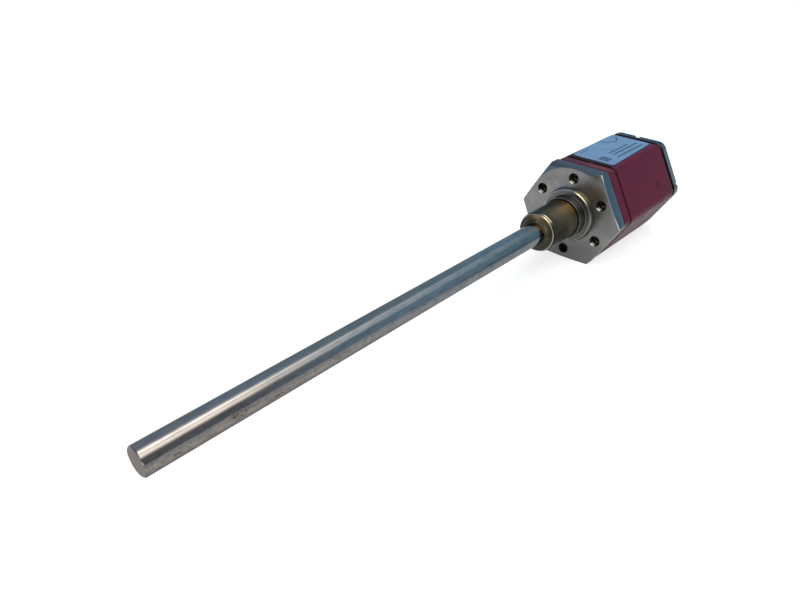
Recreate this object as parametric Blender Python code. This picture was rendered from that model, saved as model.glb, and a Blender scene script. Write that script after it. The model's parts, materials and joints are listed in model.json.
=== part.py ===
"""Magnetostrictive position sensor: a closed rod in a hexagon flange, with the electronics head behind it.

The sensor is drawn in its own datum: X runs along the rod towards its tip, x = 0 is the flange's
mounting face, and the hexagon's label flat faces +Z. The root empty then lays the sensor on its
lower flats, with the middle of its outline over the world's origin.
"""
import math

import bmesh
import bpy
from mathutils import Matrix

MM = 0.001
WELD = 0.001 * MM                   # points closer than this are one point
FIT = 0.3 * MM                      # gap between pieces that seat on or slide into each other

# Flange: hexagon plate, collar, locating step and boss turned from one bar
FLANGE_AF = 46.0 * MM               # across the flats
FLANGE_T = 7.0 * MM
FLANGE_REAR_BREAK = 0.4 * MM
CORNER_SLOPE = 0.26                 # how far the corner cone falls back for each unit outwards
CORNER_START_INSET = 0.25 * MM      # the cone starts this far inside the flats
COLLAR_R = 13.35 * MM
COLLAR_TOP_R = 12.7 * MM
COLLAR_SIDE = 0.4 * MM
COLLAR_H = 1.9 * MM
STEP_R = 10.3 * MM
STEP_END = 6.9 * MM
STEP_BREAK = 0.2 * MM
BOSS_R = 9.4 * MM
BOSS_END = 28.2 * MM
BOSS_CHAMFER_R = 0.5 * MM
BOSS_CHAMFER_L = 1.2 * MM
BEAD_R = 6.7 * MM                   # weld bead where the rod leaves the boss
BEAD_L = 1.6 * MM
BEAD_LIP = 0.25 * MM                # the bead's thickness at its thin end
SPIGOT_L = 4.5 * MM
SPIGOT_BREAK = 0.4 * MM

# Seal in the spigot's groove
SPIGOT_RING_D = 1.7 * MM

# Rod
TUBE_R = 5.1 * MM
TUBE_WALL = 1.1 * MM
TUBE_TIP = 225.6 * MM               # from the mounting face to the rod's tip
TUBE_END_WALL = 2.5 * MM
TUBE_BACK = 9.0 * MM                # how far the rod reaches back into the flange
TUBE_TIP_BREAK = 0.45 * MM

# Six screws that hold the flange to the head, and the same screws behind the rear cover
SCREW_R = 1.25 * MM
SCREW_HEAD_R = 2.25 * MM
SCREW_HEAD_H = 2.5 * MM
SCREW_SOCKET_AF = 2.0 * MM
SCREW_SOCKET_DEPTH = 1.3 * MM
FLANGE_POCKET_GAP = 0.25 * MM       # round a screw's head in the flange
FLANGE_POCKET_WALL = 2.3 * MM       # metal between a screw pocket and the nearest flat
FRAME_WEB = 1.85 * MM               # metal between the screw holes and the spigot's bore in the frame
FLANGE_HEAD_DEPTH = 3.0 * MM        # from the mounting face to the screw's head
FLANGE_SCREW_L = 16.0 * MM
COVER_SCREW_L = 10.0 * MM
COVER_HEAD_DEPTH = 0.4 * MM

# Head: frame, gaskets, extruded housing and rear cover share one rounded hexagon
HEAD_INSET = 0.1 * MM               # how far the head's flats lie inside the flange's
HEAD_CORNER_R = 3.5 * MM
EDGE_BREAK = 0.35 * MM
FRAME_T = 5.2 * MM
GASKET_T = 1.2 * MM
REAR_GASKET_T = 1.6 * MM
GASKET_INSET = 0.8 * MM             # how far the gaskets' edge lies under the housing's
HOUSING_L = 46.4 * MM
HOUSING_WALL = 2.0 * MM
HOUSING_INNER_CORNER_R = 2.0 * MM
CHANNEL_WALL = 1.2 * MM             # metal round the screw channels
COVER_T = 5.0 * MM
COVER_CORNER_R = 5.0 * MM
COVER_EDGE_BREAK = 0.8 * MM
TOP_NOTCH = {"angle": 90.0, "along": 1.2 * MM, "width": 2.7 * MM, "length": 3.0 * MM, "depth": 2.2 * MM}
SIDE_NOTCH = {"angle": 30.0, "along": -9.2 * MM, "width": 1.3 * MM, "length": 2.0 * MM, "depth": 1.4 * MM}

# Connector on the rear cover
SHELL_STUB_R = 7.3 * MM             # the stub that passes through the cover
SHELL_STUB_WALL = 1.0 * MM
SHELL_WALL = 1.7 * MM
SHELL_L = 9.5 * MM
SHELL_LAND = 2.4 * MM               # the seat round the cover's hole, which the seal lies in
SHELL_FLANGE_T = 2.2 * MM
SHELL_MOUTH_BREAK = 0.5 * MM
SHELL_KEY_W = 1.6 * MM
SHELL_KEY_DEPTH = 0.8 * MM
NUT_WALL = 1.9 * MM
NUT_T = 2.4 * MM
CONNECTOR_RING_D = 0.9 * MM
INSERT_FACE_DEPTH = 6.5 * MM        # from the shell's mouth down to the insert's face
PIN_COUNT = 8
PIN_INSET = 2.1 * MM                # from the shell's bore to the pins' circle
PIN_R = 0.5 * MM
PIN_LENGTH_OUT = 4.0 * MM           # pin length in front of the insert's face
PIN_TAIL = 2.0 * MM                 # pin length behind the insert
LINK_BOARD_GAP = 0.95 * MM          # to the housing's screw channels
BOARD_T = 1.6 * MM

# Sensor head: carries the waveguide's inner end, its coil and its magnet
SENSOR_R = 9.0 * MM
SENSOR_NECK_L = 7.5 * MM            # solid stretch in front of the coil's pocket
POCKET_L = 9.6 * MM
SENSOR_REAR_WALL = 2.9 * MM         # behind the coil's pocket
POCKET_W = 10.0 * MM
BOBBIN_FLANGE_R = 2.6 * MM
BOBBIN_FLANGE_T = 0.6 * MM
BOBBIN_CORE_R = 1.1 * MM
COIL_R = 2.4 * MM
MAGNET_H = 2.0 * MM
MAGNET_L = 5.0 * MM

# Waveguide and what surrounds it inside the rod
WIRE_R = 0.35 * MM
SLEEVE_R = 1.5 * MM
SLOT_W = 1.2 * MM
SLOT_DEPTH = 1.4 * MM
RETURN_R = 0.3 * MM
DAMPER_L = 14.0 * MM
DAMPER_END = 2.0 * MM               # rubber in front of the wire's tip

# Electronics behind the sensor head
CHASSIS_REAR_GAP = 1.5 * MM         # behind the chassis, to the link board
CHASSIS_WEB_T = 3.0 * MM
CHASSIS_SHELF_T = 1.7 * MM
BOARD_SIDE_GAP = 4.3 * MM           # from a board's edge to the housing's wall
BOARD_FRONT_GAP = 4.7 * MM          # from the spigot back to the boards
HEADER_SIZE = (4.4 * MM, 10.0 * MM, 1.9 * MM)
BOARD_SCREW_R = 0.8 * MM
BOARD_SCREW_HEAD_R = 1.6 * MM
BOARD_SCREW_HEAD_H = 0.9 * MM
BOARD_SCREW_L = 3.0 * MM
BOARD_SCREW_IN = 3.4 * MM           # front screws, behind the chassis's front
BOARD_SCREW_Y = 6.5 * MM
CHIPS = {                           # x from the chassis's front, y, length, width, height
    "processor_chip": (6.8 * MM, 0.0, 7.0 * MM, 7.0 * MM, 1.2 * MM),
    "timer_chip": (-4.8 * MM, -8.0 * MM, 5.0 * MM, 4.0 * MM, 1.4 * MM),
    "driver_chip": (-10.6 * MM, 7.0 * MM, 4.0 * MM, 6.0 * MM, 1.4 * MM),
}
CAPACITOR_R = 2.4 * MM
CAPACITOR_H = 2.2 * MM
CAPACITOR_PLACES = ((9.7 * MM, -7.0 * MM), (9.7 * MM, 7.0 * MM), (-2.8 * MM, -8.0 * MM))

# Facets of the round pieces
FINE_STEPS = 48
ROUND_STEPS = 32
SMALL_STEPS = 16
TINY_STEPS = 8
SEAL_SIDES = 6                      # sides of an O-ring's section
CHANNEL_STEPS = 6                   # steps round the end of a screw channel

# Sizes that follow from the ones above
SCREW_HOLE_R = SCREW_R + FIT
FLANGE_POCKET_R = SCREW_HEAD_R + FLANGE_POCKET_GAP
BOLT_CIRCLE_R = FLANGE_AF / 2 - FLANGE_POCKET_WALL - FLANGE_POCKET_R
SPIGOT_R = BOLT_CIRCLE_R - SCREW_HOLE_R - FRAME_WEB - FIT
HEAD_AF = FLANGE_AF - 2.0 * HEAD_INSET
CHANNEL_HALF = SCREW_HOLE_R + CHANNEL_WALL
BORE_R = TUBE_R + FIT
ELEMENT_R = TUBE_R - TUBE_WALL - FIT
SLOT_FLOOR_R = ELEMENT_R - SLOT_DEPTH
WIRE_HOLE_R = WIRE_R + FIT
SHELL_BORE_R = SHELL_STUB_R - SHELL_STUB_WALL
SHELL_R = SHELL_BORE_R + SHELL_WALL
SHELL_FLANGE_R = SHELL_STUB_R + FIT + SHELL_LAND
CONNECTOR_RING_R = SHELL_STUB_R + FIT + SHELL_LAND / 2
NUT_AF = 2.0 * (SHELL_STUB_R + FIT + NUT_WALL)
PIN_CIRCLE_R = SHELL_BORE_R - PIN_INSET
LINK_BOARD_R = BOLT_CIRCLE_R - CHANNEL_HALF - LINK_BOARD_GAP
SENSOR_L = SENSOR_NECK_L + POCKET_L + SENSOR_REAR_WALL
WIRE_IN_DAMPER = DAMPER_L - DAMPER_END
BOARD_TOP = BOLT_CIRCLE_R - CHANNEL_HALF - FIT - CAPACITOR_H - FIT
BOARD_Z = BOARD_TOP - BOARD_T       # the boards' inner faces, above and below the axis
CHASSIS_TOP = BOARD_Z - FIT
BOARD_HALF_W = (HEAD_AF / 2 - HOUSING_WALL - BOARD_TOP / 2) / math.cos(math.pi / 6) - BOARD_SIDE_GAP

# Places along X, each worked out from the one in front of it
FLANGE_BACK = -FLANGE_T
SPIGOT_BACK = FLANGE_BACK - SPIGOT_L
FRAME_FRONT = FLANGE_BACK - FIT
FRAME_BACK = FRAME_FRONT - FRAME_T
GASKET_FRONT = FRAME_BACK - FIT
GASKET_BACK = GASKET_FRONT - GASKET_T
HOUSING_FRONT = GASKET_BACK - FIT
HOUSING_BACK = HOUSING_FRONT - HOUSING_L
REAR_GASKET_FRONT = HOUSING_BACK - FIT
REAR_GASKET_BACK = REAR_GASKET_FRONT - REAR_GASKET_T
COVER_FRONT = REAR_GASKET_BACK - FIT
COVER_BACK = COVER_FRONT - COVER_T
SHELL_SEAT = COVER_BACK - FIT
SHELL_MOUTH = SHELL_SEAT - SHELL_FLANGE_T - SHELL_L
NUT_FRONT = COVER_FRONT + FIT + NUT_T
SHELL_INNER_END = NUT_FRONT + FIT
INSERT_FACE = SHELL_MOUTH + INSERT_FACE_DEPTH
LINK_BOARD_BACK = SHELL_INNER_END + FIT
LINK_BOARD_FRONT = LINK_BOARD_BACK + BOARD_T
SENSOR_FRONT = SPIGOT_BACK - FIT
SENSOR_BACK = SENSOR_FRONT - SENSOR_L
POCKET_FRONT = SENSOR_FRONT - SENSOR_NECK_L
POCKET_BACK = POCKET_FRONT - POCKET_L
CHASSIS_FRONT = SENSOR_BACK - FIT
CHASSIS_BACK = LINK_BOARD_FRONT + CHASSIS_REAR_GAP
BOARD_BACK = LINK_BOARD_FRONT + FIT
BOARD_FRONT = SPIGOT_BACK - BOARD_FRONT_GAP
ELEMENT_BACK = SENSOR_FRONT + FIT
DAMPER_TIP = TUBE_TIP - TUBE_END_WALL - FIT
DAMPER_BACK = DAMPER_TIP - DAMPER_L
BOLT_ANGLES = [30.0 + 60.0 * k for k in range(6)]
BEHIND = 1.0 * MM                   # how far a cutter runs past the face it opens


def clear_scene():
    for thing in list(bpy.data.objects):
        bpy.data.objects.remove(thing, do_unlink=True)


def surface(name, colour, roughness, metallic):
    """A Principled material in one plain finish."""
    made = bpy.data.materials.new(name)
    made.use_nodes = True
    shader = made.node_tree.nodes["Principled BSDF"]
    shader.inputs["Base Color"].default_value = (*colour, 1.0)
    shader.inputs["Roughness"].default_value = roughness
    shader.inputs["Metallic"].default_value = metallic
    made.diffuse_color = (*colour, 1.0)
    return made


def polar(radius, degrees):
    """The (y, z) place at this radius and angle, the angle counted from +Y towards +Z."""
    turn = math.radians(degrees)
    return radius * math.cos(turn), radius * math.sin(turn)


def turned(profile, segments, centre=(0.0, 0.0)):
    """A closed solid: the (x, radius) profile spun about the X axis and moved to its centre in Y and Z.

    A profile that starts and ends on the axis makes a solid body; any other is a closed section of a ring.
    """
    bm = bmesh.new()
    verts = [bm.verts.new((x, radius, 0.0)) for x, radius in profile]
    pairs = list(zip(verts, verts[1:]))
    if profile[0][1] > 0.0:
        pairs.append((verts[-1], verts[0]))
    edges = [bm.edges.new(pair) for pair in pairs]
    bmesh.ops.spin(bm, geom=verts + edges, cent=(0.0, 0.0, 0.0), axis=(1.0, 0.0, 0.0),
                   angle=math.tau, steps=segments, use_merge=True)
    bmesh.ops.remove_doubles(bm, verts=bm.verts, dist=WELD)
    bmesh.ops.translate(bm, verts=bm.verts, vec=(0.0, *centre))
    return bm


def rod(x0, x1, radius, segments, centre=(0.0, 0.0)):
    """A plain round bar along X."""
    return turned([(x0, 0.0), (x0, radius), (x1, radius), (x1, 0.0)], segments, centre)


def pipe(x0, x1, inner, outer, segments, centre=(0.0, 0.0)):
    """A plain round tube along X, open at both ends."""
    return turned([(x0, inner), (x0, outer), (x1, outer), (x1, inner)], segments, centre)


def ring_seal(x, radius, thickness, segments):
    """An O-ring of round section about the X axis."""
    section = [polar(thickness / 2, 360.0 * k / SEAL_SIDES) for k in range(SEAL_SIDES)]
    return turned([(x + dx, radius + dr) for dx, dr in section], segments)


def loft(rings):
    """A closed solid through rings of (x, y, z) points that all have the same count."""
    bm = bmesh.new()
    loops = [[bm.verts.new(point) for point in ring] for ring in rings]
    for near, far in zip(loops, loops[1:]):
        for i in range(len(near)):
            j = (i + 1) % len(near)
            bm.faces.new((near[i], near[j], far[j], far[i]))
    bm.faces.new(loops[0])
    bm.faces.new(loops[-1])
    return bm


def prism(outline, x0, x1):
    """A straight solid of this (y, z) outline between two places along X."""
    return loft([[(x, y, z) for y, z in outline] for x in (x0, x1)])


def block(x0, x1, y0, y1, z0, z1):
    return prism([(y0, z0), (y1, z0), (y1, z1), (y0, z1)], x0, x1)


def hexagon(across_flats, corner_r=0.0, corner_steps=4):
    """The (y, z) outline of a hexagon with a flat on top; its corners are arcs if a radius is given."""
    if corner_r <= 0.0:
        return [polar(across_flats / math.sqrt(3.0), 60.0 * k) for k in range(6)]
    points = []
    for k in range(6):
        cy, cz = polar((across_flats - 2.0 * corner_r) / math.sqrt(3.0), 60.0 * k)
        for step in range(corner_steps + 1):
            dy, dz = polar(corner_r, 60.0 * k - 30.0 + 60.0 * step / corner_steps)
            points.append((cy + dy, cz + dz))
    return points


def broken_edge_plate(across_flats, corner_r, x_front, x_back, front_break, back_break):
    """A hexagon plate whose outer edges are broken at the back, and at the front too unless that is 0."""
    stations = [(x_front - front_break, 0.0), (x_back + back_break, 0.0), (x_back, back_break)]
    if front_break > 0.0:
        stations.insert(0, (x_front, front_break))
    rings = []
    for x, inset in stations:
        outline = hexagon(across_flats - 2.0 * inset, max(corner_r - inset, 0.0))
        rings.append([(x, y, z) for y, z in outline])
    return loft(rings)


def chambered_outline(wall):
    """The (y, z) outline of the housing's inside: a hexagon with a U-shaped screw channel on each flat."""
    reach = HEAD_AF / 2 - wall
    half = CHANNEL_HALF
    points = []
    for k in range(6):
        corner = 60.0 * k
        cy, cz = polar((2.0 * reach - 2.0 * HOUSING_INNER_CORNER_R) / math.sqrt(3.0), corner)
        for turn in (-30.0, 0.0, 30.0):
            dy, dz = polar(HOUSING_INNER_CORNER_R, corner + turn)
            points.append((cy + dy, cz + dz))
        flat = corner + 30.0
        across = [(-half, reach)]
        for step in range(CHANNEL_STEPS + 1):
            turn = math.pi * step / CHANNEL_STEPS
            across.append((-half * math.cos(turn), BOLT_CIRCLE_R - half * math.sin(turn)))
        across.append((half, reach))
        ny, nz = polar(1.0, flat)
        for along, out in across:
            points.append((ny * out - nz * along, nz * out + ny * along))
    return points


def upright(x, y, side):
    """The turn and shift that stand a shape made along X at (x, y), up (side +1) or down (side -1)."""
    return Matrix.Translation((x, y, 0.0)) @ Matrix.Rotation(-side * math.pi / 2, 4, "Y")


def stood_up(shape, x, y, side):
    bmesh.ops.transform(shape, matrix=upright(x, y, side), verts=shape.verts)
    return shape


def finish_mesh(name, shapes):
    """One mesh from several separate solids, with clean normals and sharp edges kept sharp."""
    joined = bmesh.new()
    for shape in shapes:
        bmesh.ops.recalc_face_normals(shape, faces=shape.faces)
        loose = bpy.data.meshes.new(name + "_shape")
        shape.to_mesh(loose)
        shape.free()
        joined.from_mesh(loose)
        bpy.data.meshes.remove(loose)
    mesh = bpy.data.meshes.new(name)
    joined.to_mesh(mesh)
    joined.free()
    mesh.shade_smooth()
    mesh.set_sharp_from_angle(angle=math.radians(35.0))
    return mesh


def place(name, mesh, root, where=None):
    """A named object of this mesh in the sensor's datum."""
    obj = bpy.data.objects.new(name, mesh)
    bpy.context.scene.collection.objects.link(obj)
    obj.parent = root
    if where is not None:
        obj.matrix_local = where
    return obj


def piece(name, shape, finish, root):
    """A named sub-part made from one closed solid."""
    mesh = finish_mesh(name, [shape])
    mesh.materials.append(finish)
    return place(name, mesh, root)


def evaluated_mesh(template):
    """The mesh of a template with its modifiers carried out; the template and its helpers are removed."""
    graph = bpy.context.evaluated_depsgraph_get()
    mesh = bpy.data.meshes.new_from_object(template.evaluated_get(graph))
    for step in list(template.modifiers):
        bpy.data.objects.remove(step.object, do_unlink=True)
    bpy.data.objects.remove(template, do_unlink=True)
    return mesh


def combine(target, operation, label, shapes):
    """Join, cut or intersect a sub-part with hidden helper solids."""
    helper = place(target.name + "_" + label, finish_mesh(label, shapes), target.parent)
    helper.hide_render = True
    helper.display_type = "WIRE"
    step = target.modifiers.new(label, "BOOLEAN")
    step.operation = operation
    step.solver = "EXACT"
    step.object = helper


def make_flange(finish, root):
    """Hexagon plate with coned corners, spigot, collar, step, boss and weld bead, bored for the rod."""
    plate = broken_edge_plate(FLANGE_AF, 0.0, 0.0, FLANGE_BACK, 0.0, FLANGE_REAR_BREAK)
    flange = piece("flange", plate, finish, root)
    cone_r = FLANGE_AF / 2 - CORNER_START_INSET
    cone_out = FLANGE_AF
    cone_back = -(cone_out - cone_r) * CORNER_SLOPE
    behind = FLANGE_BACK - BEHIND
    cone = [(0.0, 0.0), (0.0, cone_r), (cone_back, cone_out), (behind, cone_out), (behind, 0.0)]
    combine(flange, "INTERSECT", "corner_cone", [turned(cone, FINE_STEPS)])

    groove_r = SPIGOT_R - SPIGOT_RING_D - FIT
    groove_half = SPIGOT_RING_D / 2 + FIT
    groove_x = (FRAME_FRONT + SPIGOT_BACK) / 2
    inside = FLANGE_BACK / 2
    bead_end = BOSS_END + BEAD_L
    body = [
        (SPIGOT_BACK, 0.0), (SPIGOT_BACK, SPIGOT_R - SPIGOT_BREAK), (SPIGOT_BACK + SPIGOT_BREAK, SPIGOT_R),
        (groove_x - groove_half, SPIGOT_R), (groove_x - groove_half, groove_r),
        (groove_x + groove_half, groove_r), (groove_x + groove_half, SPIGOT_R),
        (inside, SPIGOT_R), (inside, COLLAR_R), (COLLAR_SIDE, COLLAR_R), (COLLAR_H, COLLAR_TOP_R),
        (COLLAR_H, STEP_R), (STEP_END - STEP_BREAK, STEP_R), (STEP_END, STEP_R - STEP_BREAK),
        (STEP_END, BOSS_R), (BOSS_END - BOSS_CHAMFER_L, BOSS_R), (BOSS_END, BOSS_R - BOSS_CHAMFER_R),
        (BOSS_END, BEAD_R), (bead_end, BORE_R + BEAD_LIP), (bead_end, 0.0),
    ]
    combine(flange, "UNION", "turned_body", [turned(body, FINE_STEPS)])

    floor = -FLANGE_HEAD_DEPTH - SCREW_HEAD_H - FIT
    pocket = [(BEHIND, 0.0), (BEHIND, FLANGE_POCKET_R), (floor, FLANGE_POCKET_R), (floor, SCREW_HOLE_R),
              (behind, SCREW_HOLE_R), (behind, 0.0)]
    cuts = [turned(pocket, SMALL_STEPS, polar(BOLT_CIRCLE_R, angle)) for angle in BOLT_ANGLES]
    cuts.append(rod(SPIGOT_BACK - BEHIND, bead_end + BEHIND, BORE_R, ROUND_STEPS))
    combine(flange, "DIFFERENCE", "bores", cuts)


def make_spigot_ring(finish, root):
    """O-ring in the spigot's groove."""
    centre = (FRAME_FRONT + SPIGOT_BACK) / 2
    ring = ring_seal(centre, SPIGOT_R - SPIGOT_RING_D / 2, SPIGOT_RING_D, ROUND_STEPS)
    piece("spigot_o_ring", ring, finish, root)


def make_tube(finish, root):
    """The rod: a pressure tube closed and ground flat at its tip."""
    inner = TUBE_R - TUBE_WALL
    blind = TUBE_TIP - TUBE_END_WALL
    profile = [
        (blind, 0.0), (blind, inner), (-TUBE_BACK, inner), (-TUBE_BACK, TUBE_R),
        (TUBE_TIP - TUBE_TIP_BREAK, TUBE_R), (TUBE_TIP, TUBE_R - TUBE_TIP_BREAK), (TUBE_TIP, 0.0),
    ]
    piece("pressure_tube", turned(profile, FINE_STEPS), finish, root)


def socket_screws(name, head_x, way, length, finish, root):
    """Six socket head screws on the bolt circle; way is +1 if their heads face +X and -1 if they face -X."""
    profile = [
        (head_x, 0.0), (head_x, SCREW_HEAD_R - EDGE_BREAK), (head_x - way * EDGE_BREAK, SCREW_HEAD_R),
        (head_x - way * SCREW_HEAD_H, SCREW_HEAD_R), (head_x - way * SCREW_HEAD_H, SCREW_R),
        (head_x - way * (SCREW_HEAD_H + length), SCREW_R), (head_x - way * (SCREW_HEAD_H + length), 0.0),
    ]
    template = piece(name, turned(profile, SMALL_STEPS), finish, root)
    socket = prism(hexagon(SCREW_SOCKET_AF), head_x - way * SCREW_SOCKET_DEPTH, head_x + way * BEHIND)
    combine(template, "DIFFERENCE", "socket", [socket])
    mesh = evaluated_mesh(template)
    for number, angle in enumerate(BOLT_ANGLES, 1):
        centre = Matrix.Translation((0.0, *polar(BOLT_CIRCLE_R, angle)))
        place(f"{name}_{number}", mesh, root, centre)


def screw_channels(x0, x1):
    """Cutters for the six screw holes of the head."""
    return [rod(x0, x1, SCREW_HOLE_R, SMALL_STEPS, polar(BOLT_CIRCLE_R, angle)) for angle in BOLT_ANGLES]


def make_front_frame(finish, root):
    """Adaptor plate between the flange and the housing, bored for the spigot."""
    plate = broken_edge_plate(HEAD_AF, HEAD_CORNER_R, FRAME_FRONT, FRAME_BACK, EDGE_BREAK, EDGE_BREAK)
    frame = piece("front_frame", plate, finish, root)
    cuts = screw_channels(FRAME_BACK - BEHIND, FRAME_FRONT + BEHIND)
    cuts.append(rod(FRAME_BACK - BEHIND, FRAME_FRONT + BEHIND, SPIGOT_R + FIT, ROUND_STEPS))
    combine(frame, "DIFFERENCE", "bores", cuts)


def make_gasket(name, front, back, finish, root):
    """Flat gasket with the housing's own section, its edge a little inside the housing's."""
    sheet = prism(hexagon(HEAD_AF - 2.0 * GASKET_INSET, HEAD_CORNER_R - GASKET_INSET), front, back)
    gasket = piece(name, sheet, finish, root)
    ends = (back - BEHIND, front + BEHIND)
    combine(gasket, "DIFFERENCE", "opening", [prism(chambered_outline(HOUSING_WALL), *ends)])
    combine(gasket, "DIFFERENCE", "screw_holes", screw_channels(*ends))


def make_housing(finish, root):
    """Extruded housing with a screw channel on each flat."""
    bar = broken_edge_plate(HEAD_AF, HEAD_CORNER_R, HOUSING_FRONT, HOUSING_BACK, EDGE_BREAK, EDGE_BREAK)
    housing = piece("housing", bar, finish, root)
    ends = (HOUSING_BACK - BEHIND, HOUSING_FRONT + BEHIND)
    combine(housing, "DIFFERENCE", "chamber", [prism(chambered_outline(HOUSING_WALL), *ends)])
    combine(housing, "DIFFERENCE", "screw_channels", screw_channels(*ends))


def rim_notch(notch):
    """Cutter for a notch in the rear cover's rim, on the flat that faces the notch's angle."""
    ny, nz = polar(1.0, notch["angle"])
    outline = []
    for side, out in ((-0.5, -1.0), (0.5, -1.0), (0.5, 1.0), (-0.5, 1.0)):
        along = notch["along"] + side * notch["width"]
        far = HEAD_AF / 2 + (BEHIND if out > 0.0 else -notch["depth"])
        outline.append((ny * far - nz * along, nz * far + ny * along))
    return prism(outline, COVER_BACK - BEHIND, COVER_BACK + notch["length"])


def make_rear_cover(finish, root):
    """Thick cover with a rounded rim, two rim notches, the connector's hole and six screw pockets."""
    plate = broken_edge_plate(HEAD_AF, COVER_CORNER_R, COVER_FRONT, COVER_BACK, EDGE_BREAK, COVER_EDGE_BREAK)
    cover = piece("rear_cover", plate, finish, root)
    past_back = COVER_BACK - BEHIND
    past_front = COVER_FRONT + BEHIND
    floor = COVER_BACK + COVER_HEAD_DEPTH + SCREW_HEAD_H + FIT
    pocket_r = SCREW_HEAD_R + FIT
    pocket = [(past_back, 0.0), (past_back, pocket_r), (floor, pocket_r), (floor, SCREW_HOLE_R),
              (past_front, SCREW_HOLE_R), (past_front, 0.0)]
    cuts = [turned(pocket, SMALL_STEPS, polar(BOLT_CIRCLE_R, angle)) for angle in BOLT_ANGLES]
    seal_half = CONNECTOR_RING_D / 2 + FIT
    seal_floor = COVER_BACK + CONNECTOR_RING_D + FIT
    hole_r = SHELL_STUB_R + FIT
    bore = [(past_back, 0.0), (past_back, hole_r), (past_front, hole_r), (past_front, 0.0)]
    cuts.append(turned(bore, ROUND_STEPS))
    groove = (CONNECTOR_RING_R - seal_half, CONNECTOR_RING_R + seal_half)
    cuts.append(pipe(past_back, seal_floor, *groove, ROUND_STEPS))
    combine(cover, "DIFFERENCE", "bores", cuts)
    combine(cover, "DIFFERENCE", "rim_notches", [rim_notch(TOP_NOTCH), rim_notch(SIDE_NOTCH)])


def make_connector(metal, rubber, plastic, gold, root):
    """Threaded shell with a keyway, its nut and seal, the insert and the pins."""
    seat = SHELL_SEAT
    face = SHELL_SEAT - SHELL_FLANGE_T
    profile = [
        (SHELL_INNER_END, SHELL_BORE_R), (SHELL_INNER_END, SHELL_STUB_R), (seat, SHELL_STUB_R),
        (seat, SHELL_FLANGE_R), (face, SHELL_FLANGE_R), (face, SHELL_R),
        (SHELL_MOUTH + SHELL_MOUTH_BREAK, SHELL_R), (SHELL_MOUTH, SHELL_R - SHELL_MOUTH_BREAK),
        (SHELL_MOUTH, SHELL_BORE_R),
    ]
    shell = piece("connector_shell", turned(profile, ROUND_STEPS), metal, root)
    key_top = SHELL_BORE_R + SHELL_KEY_DEPTH
    keyway = block(SHELL_MOUTH - BEHIND, INSERT_FACE, -SHELL_KEY_W / 2, SHELL_KEY_W / 2, 0.0, key_top)
    combine(shell, "DIFFERENCE", "keyway", [keyway])

    nut = piece("connector_nut", prism(hexagon(NUT_AF), COVER_FRONT + FIT, NUT_FRONT), metal, root)
    bore = rod(COVER_FRONT + FIT - BEHIND, NUT_FRONT + BEHIND, SHELL_STUB_R + FIT, ROUND_STEPS)
    combine(nut, "DIFFERENCE", "bore", [bore])

    ring_x = COVER_BACK + CONNECTOR_RING_D / 2
    seal = ring_seal(ring_x, CONNECTOR_RING_R, CONNECTOR_RING_D, ROUND_STEPS)
    piece("connector_seal", seal, rubber, root)

    core = rod(INSERT_FACE, SHELL_INNER_END, SHELL_BORE_R - FIT, ROUND_STEPS)
    insert = piece("connector_insert", core, plastic, root)
    places = [polar(PIN_CIRCLE_R, 360.0 * (k + 0.5) / PIN_COUNT) for k in range(PIN_COUNT)]
    ends = (INSERT_FACE - BEHIND, SHELL_INNER_END + BEHIND)
    combine(insert, "DIFFERENCE", "pin_holes", [rod(*ends, PIN_R + FIT, TINY_STEPS, spot) for spot in places])
    tip = INSERT_FACE - PIN_LENGTH_OUT
    tail = SHELL_INNER_END + PIN_TAIL
    pin = [(tip, 0.0), (tip, PIN_R / 2), (tip + PIN_R, PIN_R), (tail, PIN_R), (tail, 0.0)]
    mesh = finish_mesh("connector_pin", [turned(pin, TINY_STEPS)])
    mesh.materials.append(gold)
    for number, spot in enumerate(places, 1):
        place(f"connector_pin_{number}", mesh, root, Matrix.Translation((0.0, *spot)))
    return places


def make_link_board(pin_places, finish, root):
    """Round board behind the connector, with a hole for each pin."""
    disc = rod(LINK_BOARD_BACK, LINK_BOARD_FRONT, LINK_BOARD_R, ROUND_STEPS)
    board = piece("link_board", disc, finish, root)
    ends = (LINK_BOARD_BACK - BEHIND, LINK_BOARD_FRONT + BEHIND)
    holes = [rod(*ends, PIN_R + FIT, TINY_STEPS, spot) for spot in pin_places]
    combine(board, "DIFFERENCE", "pin_holes", holes)


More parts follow.
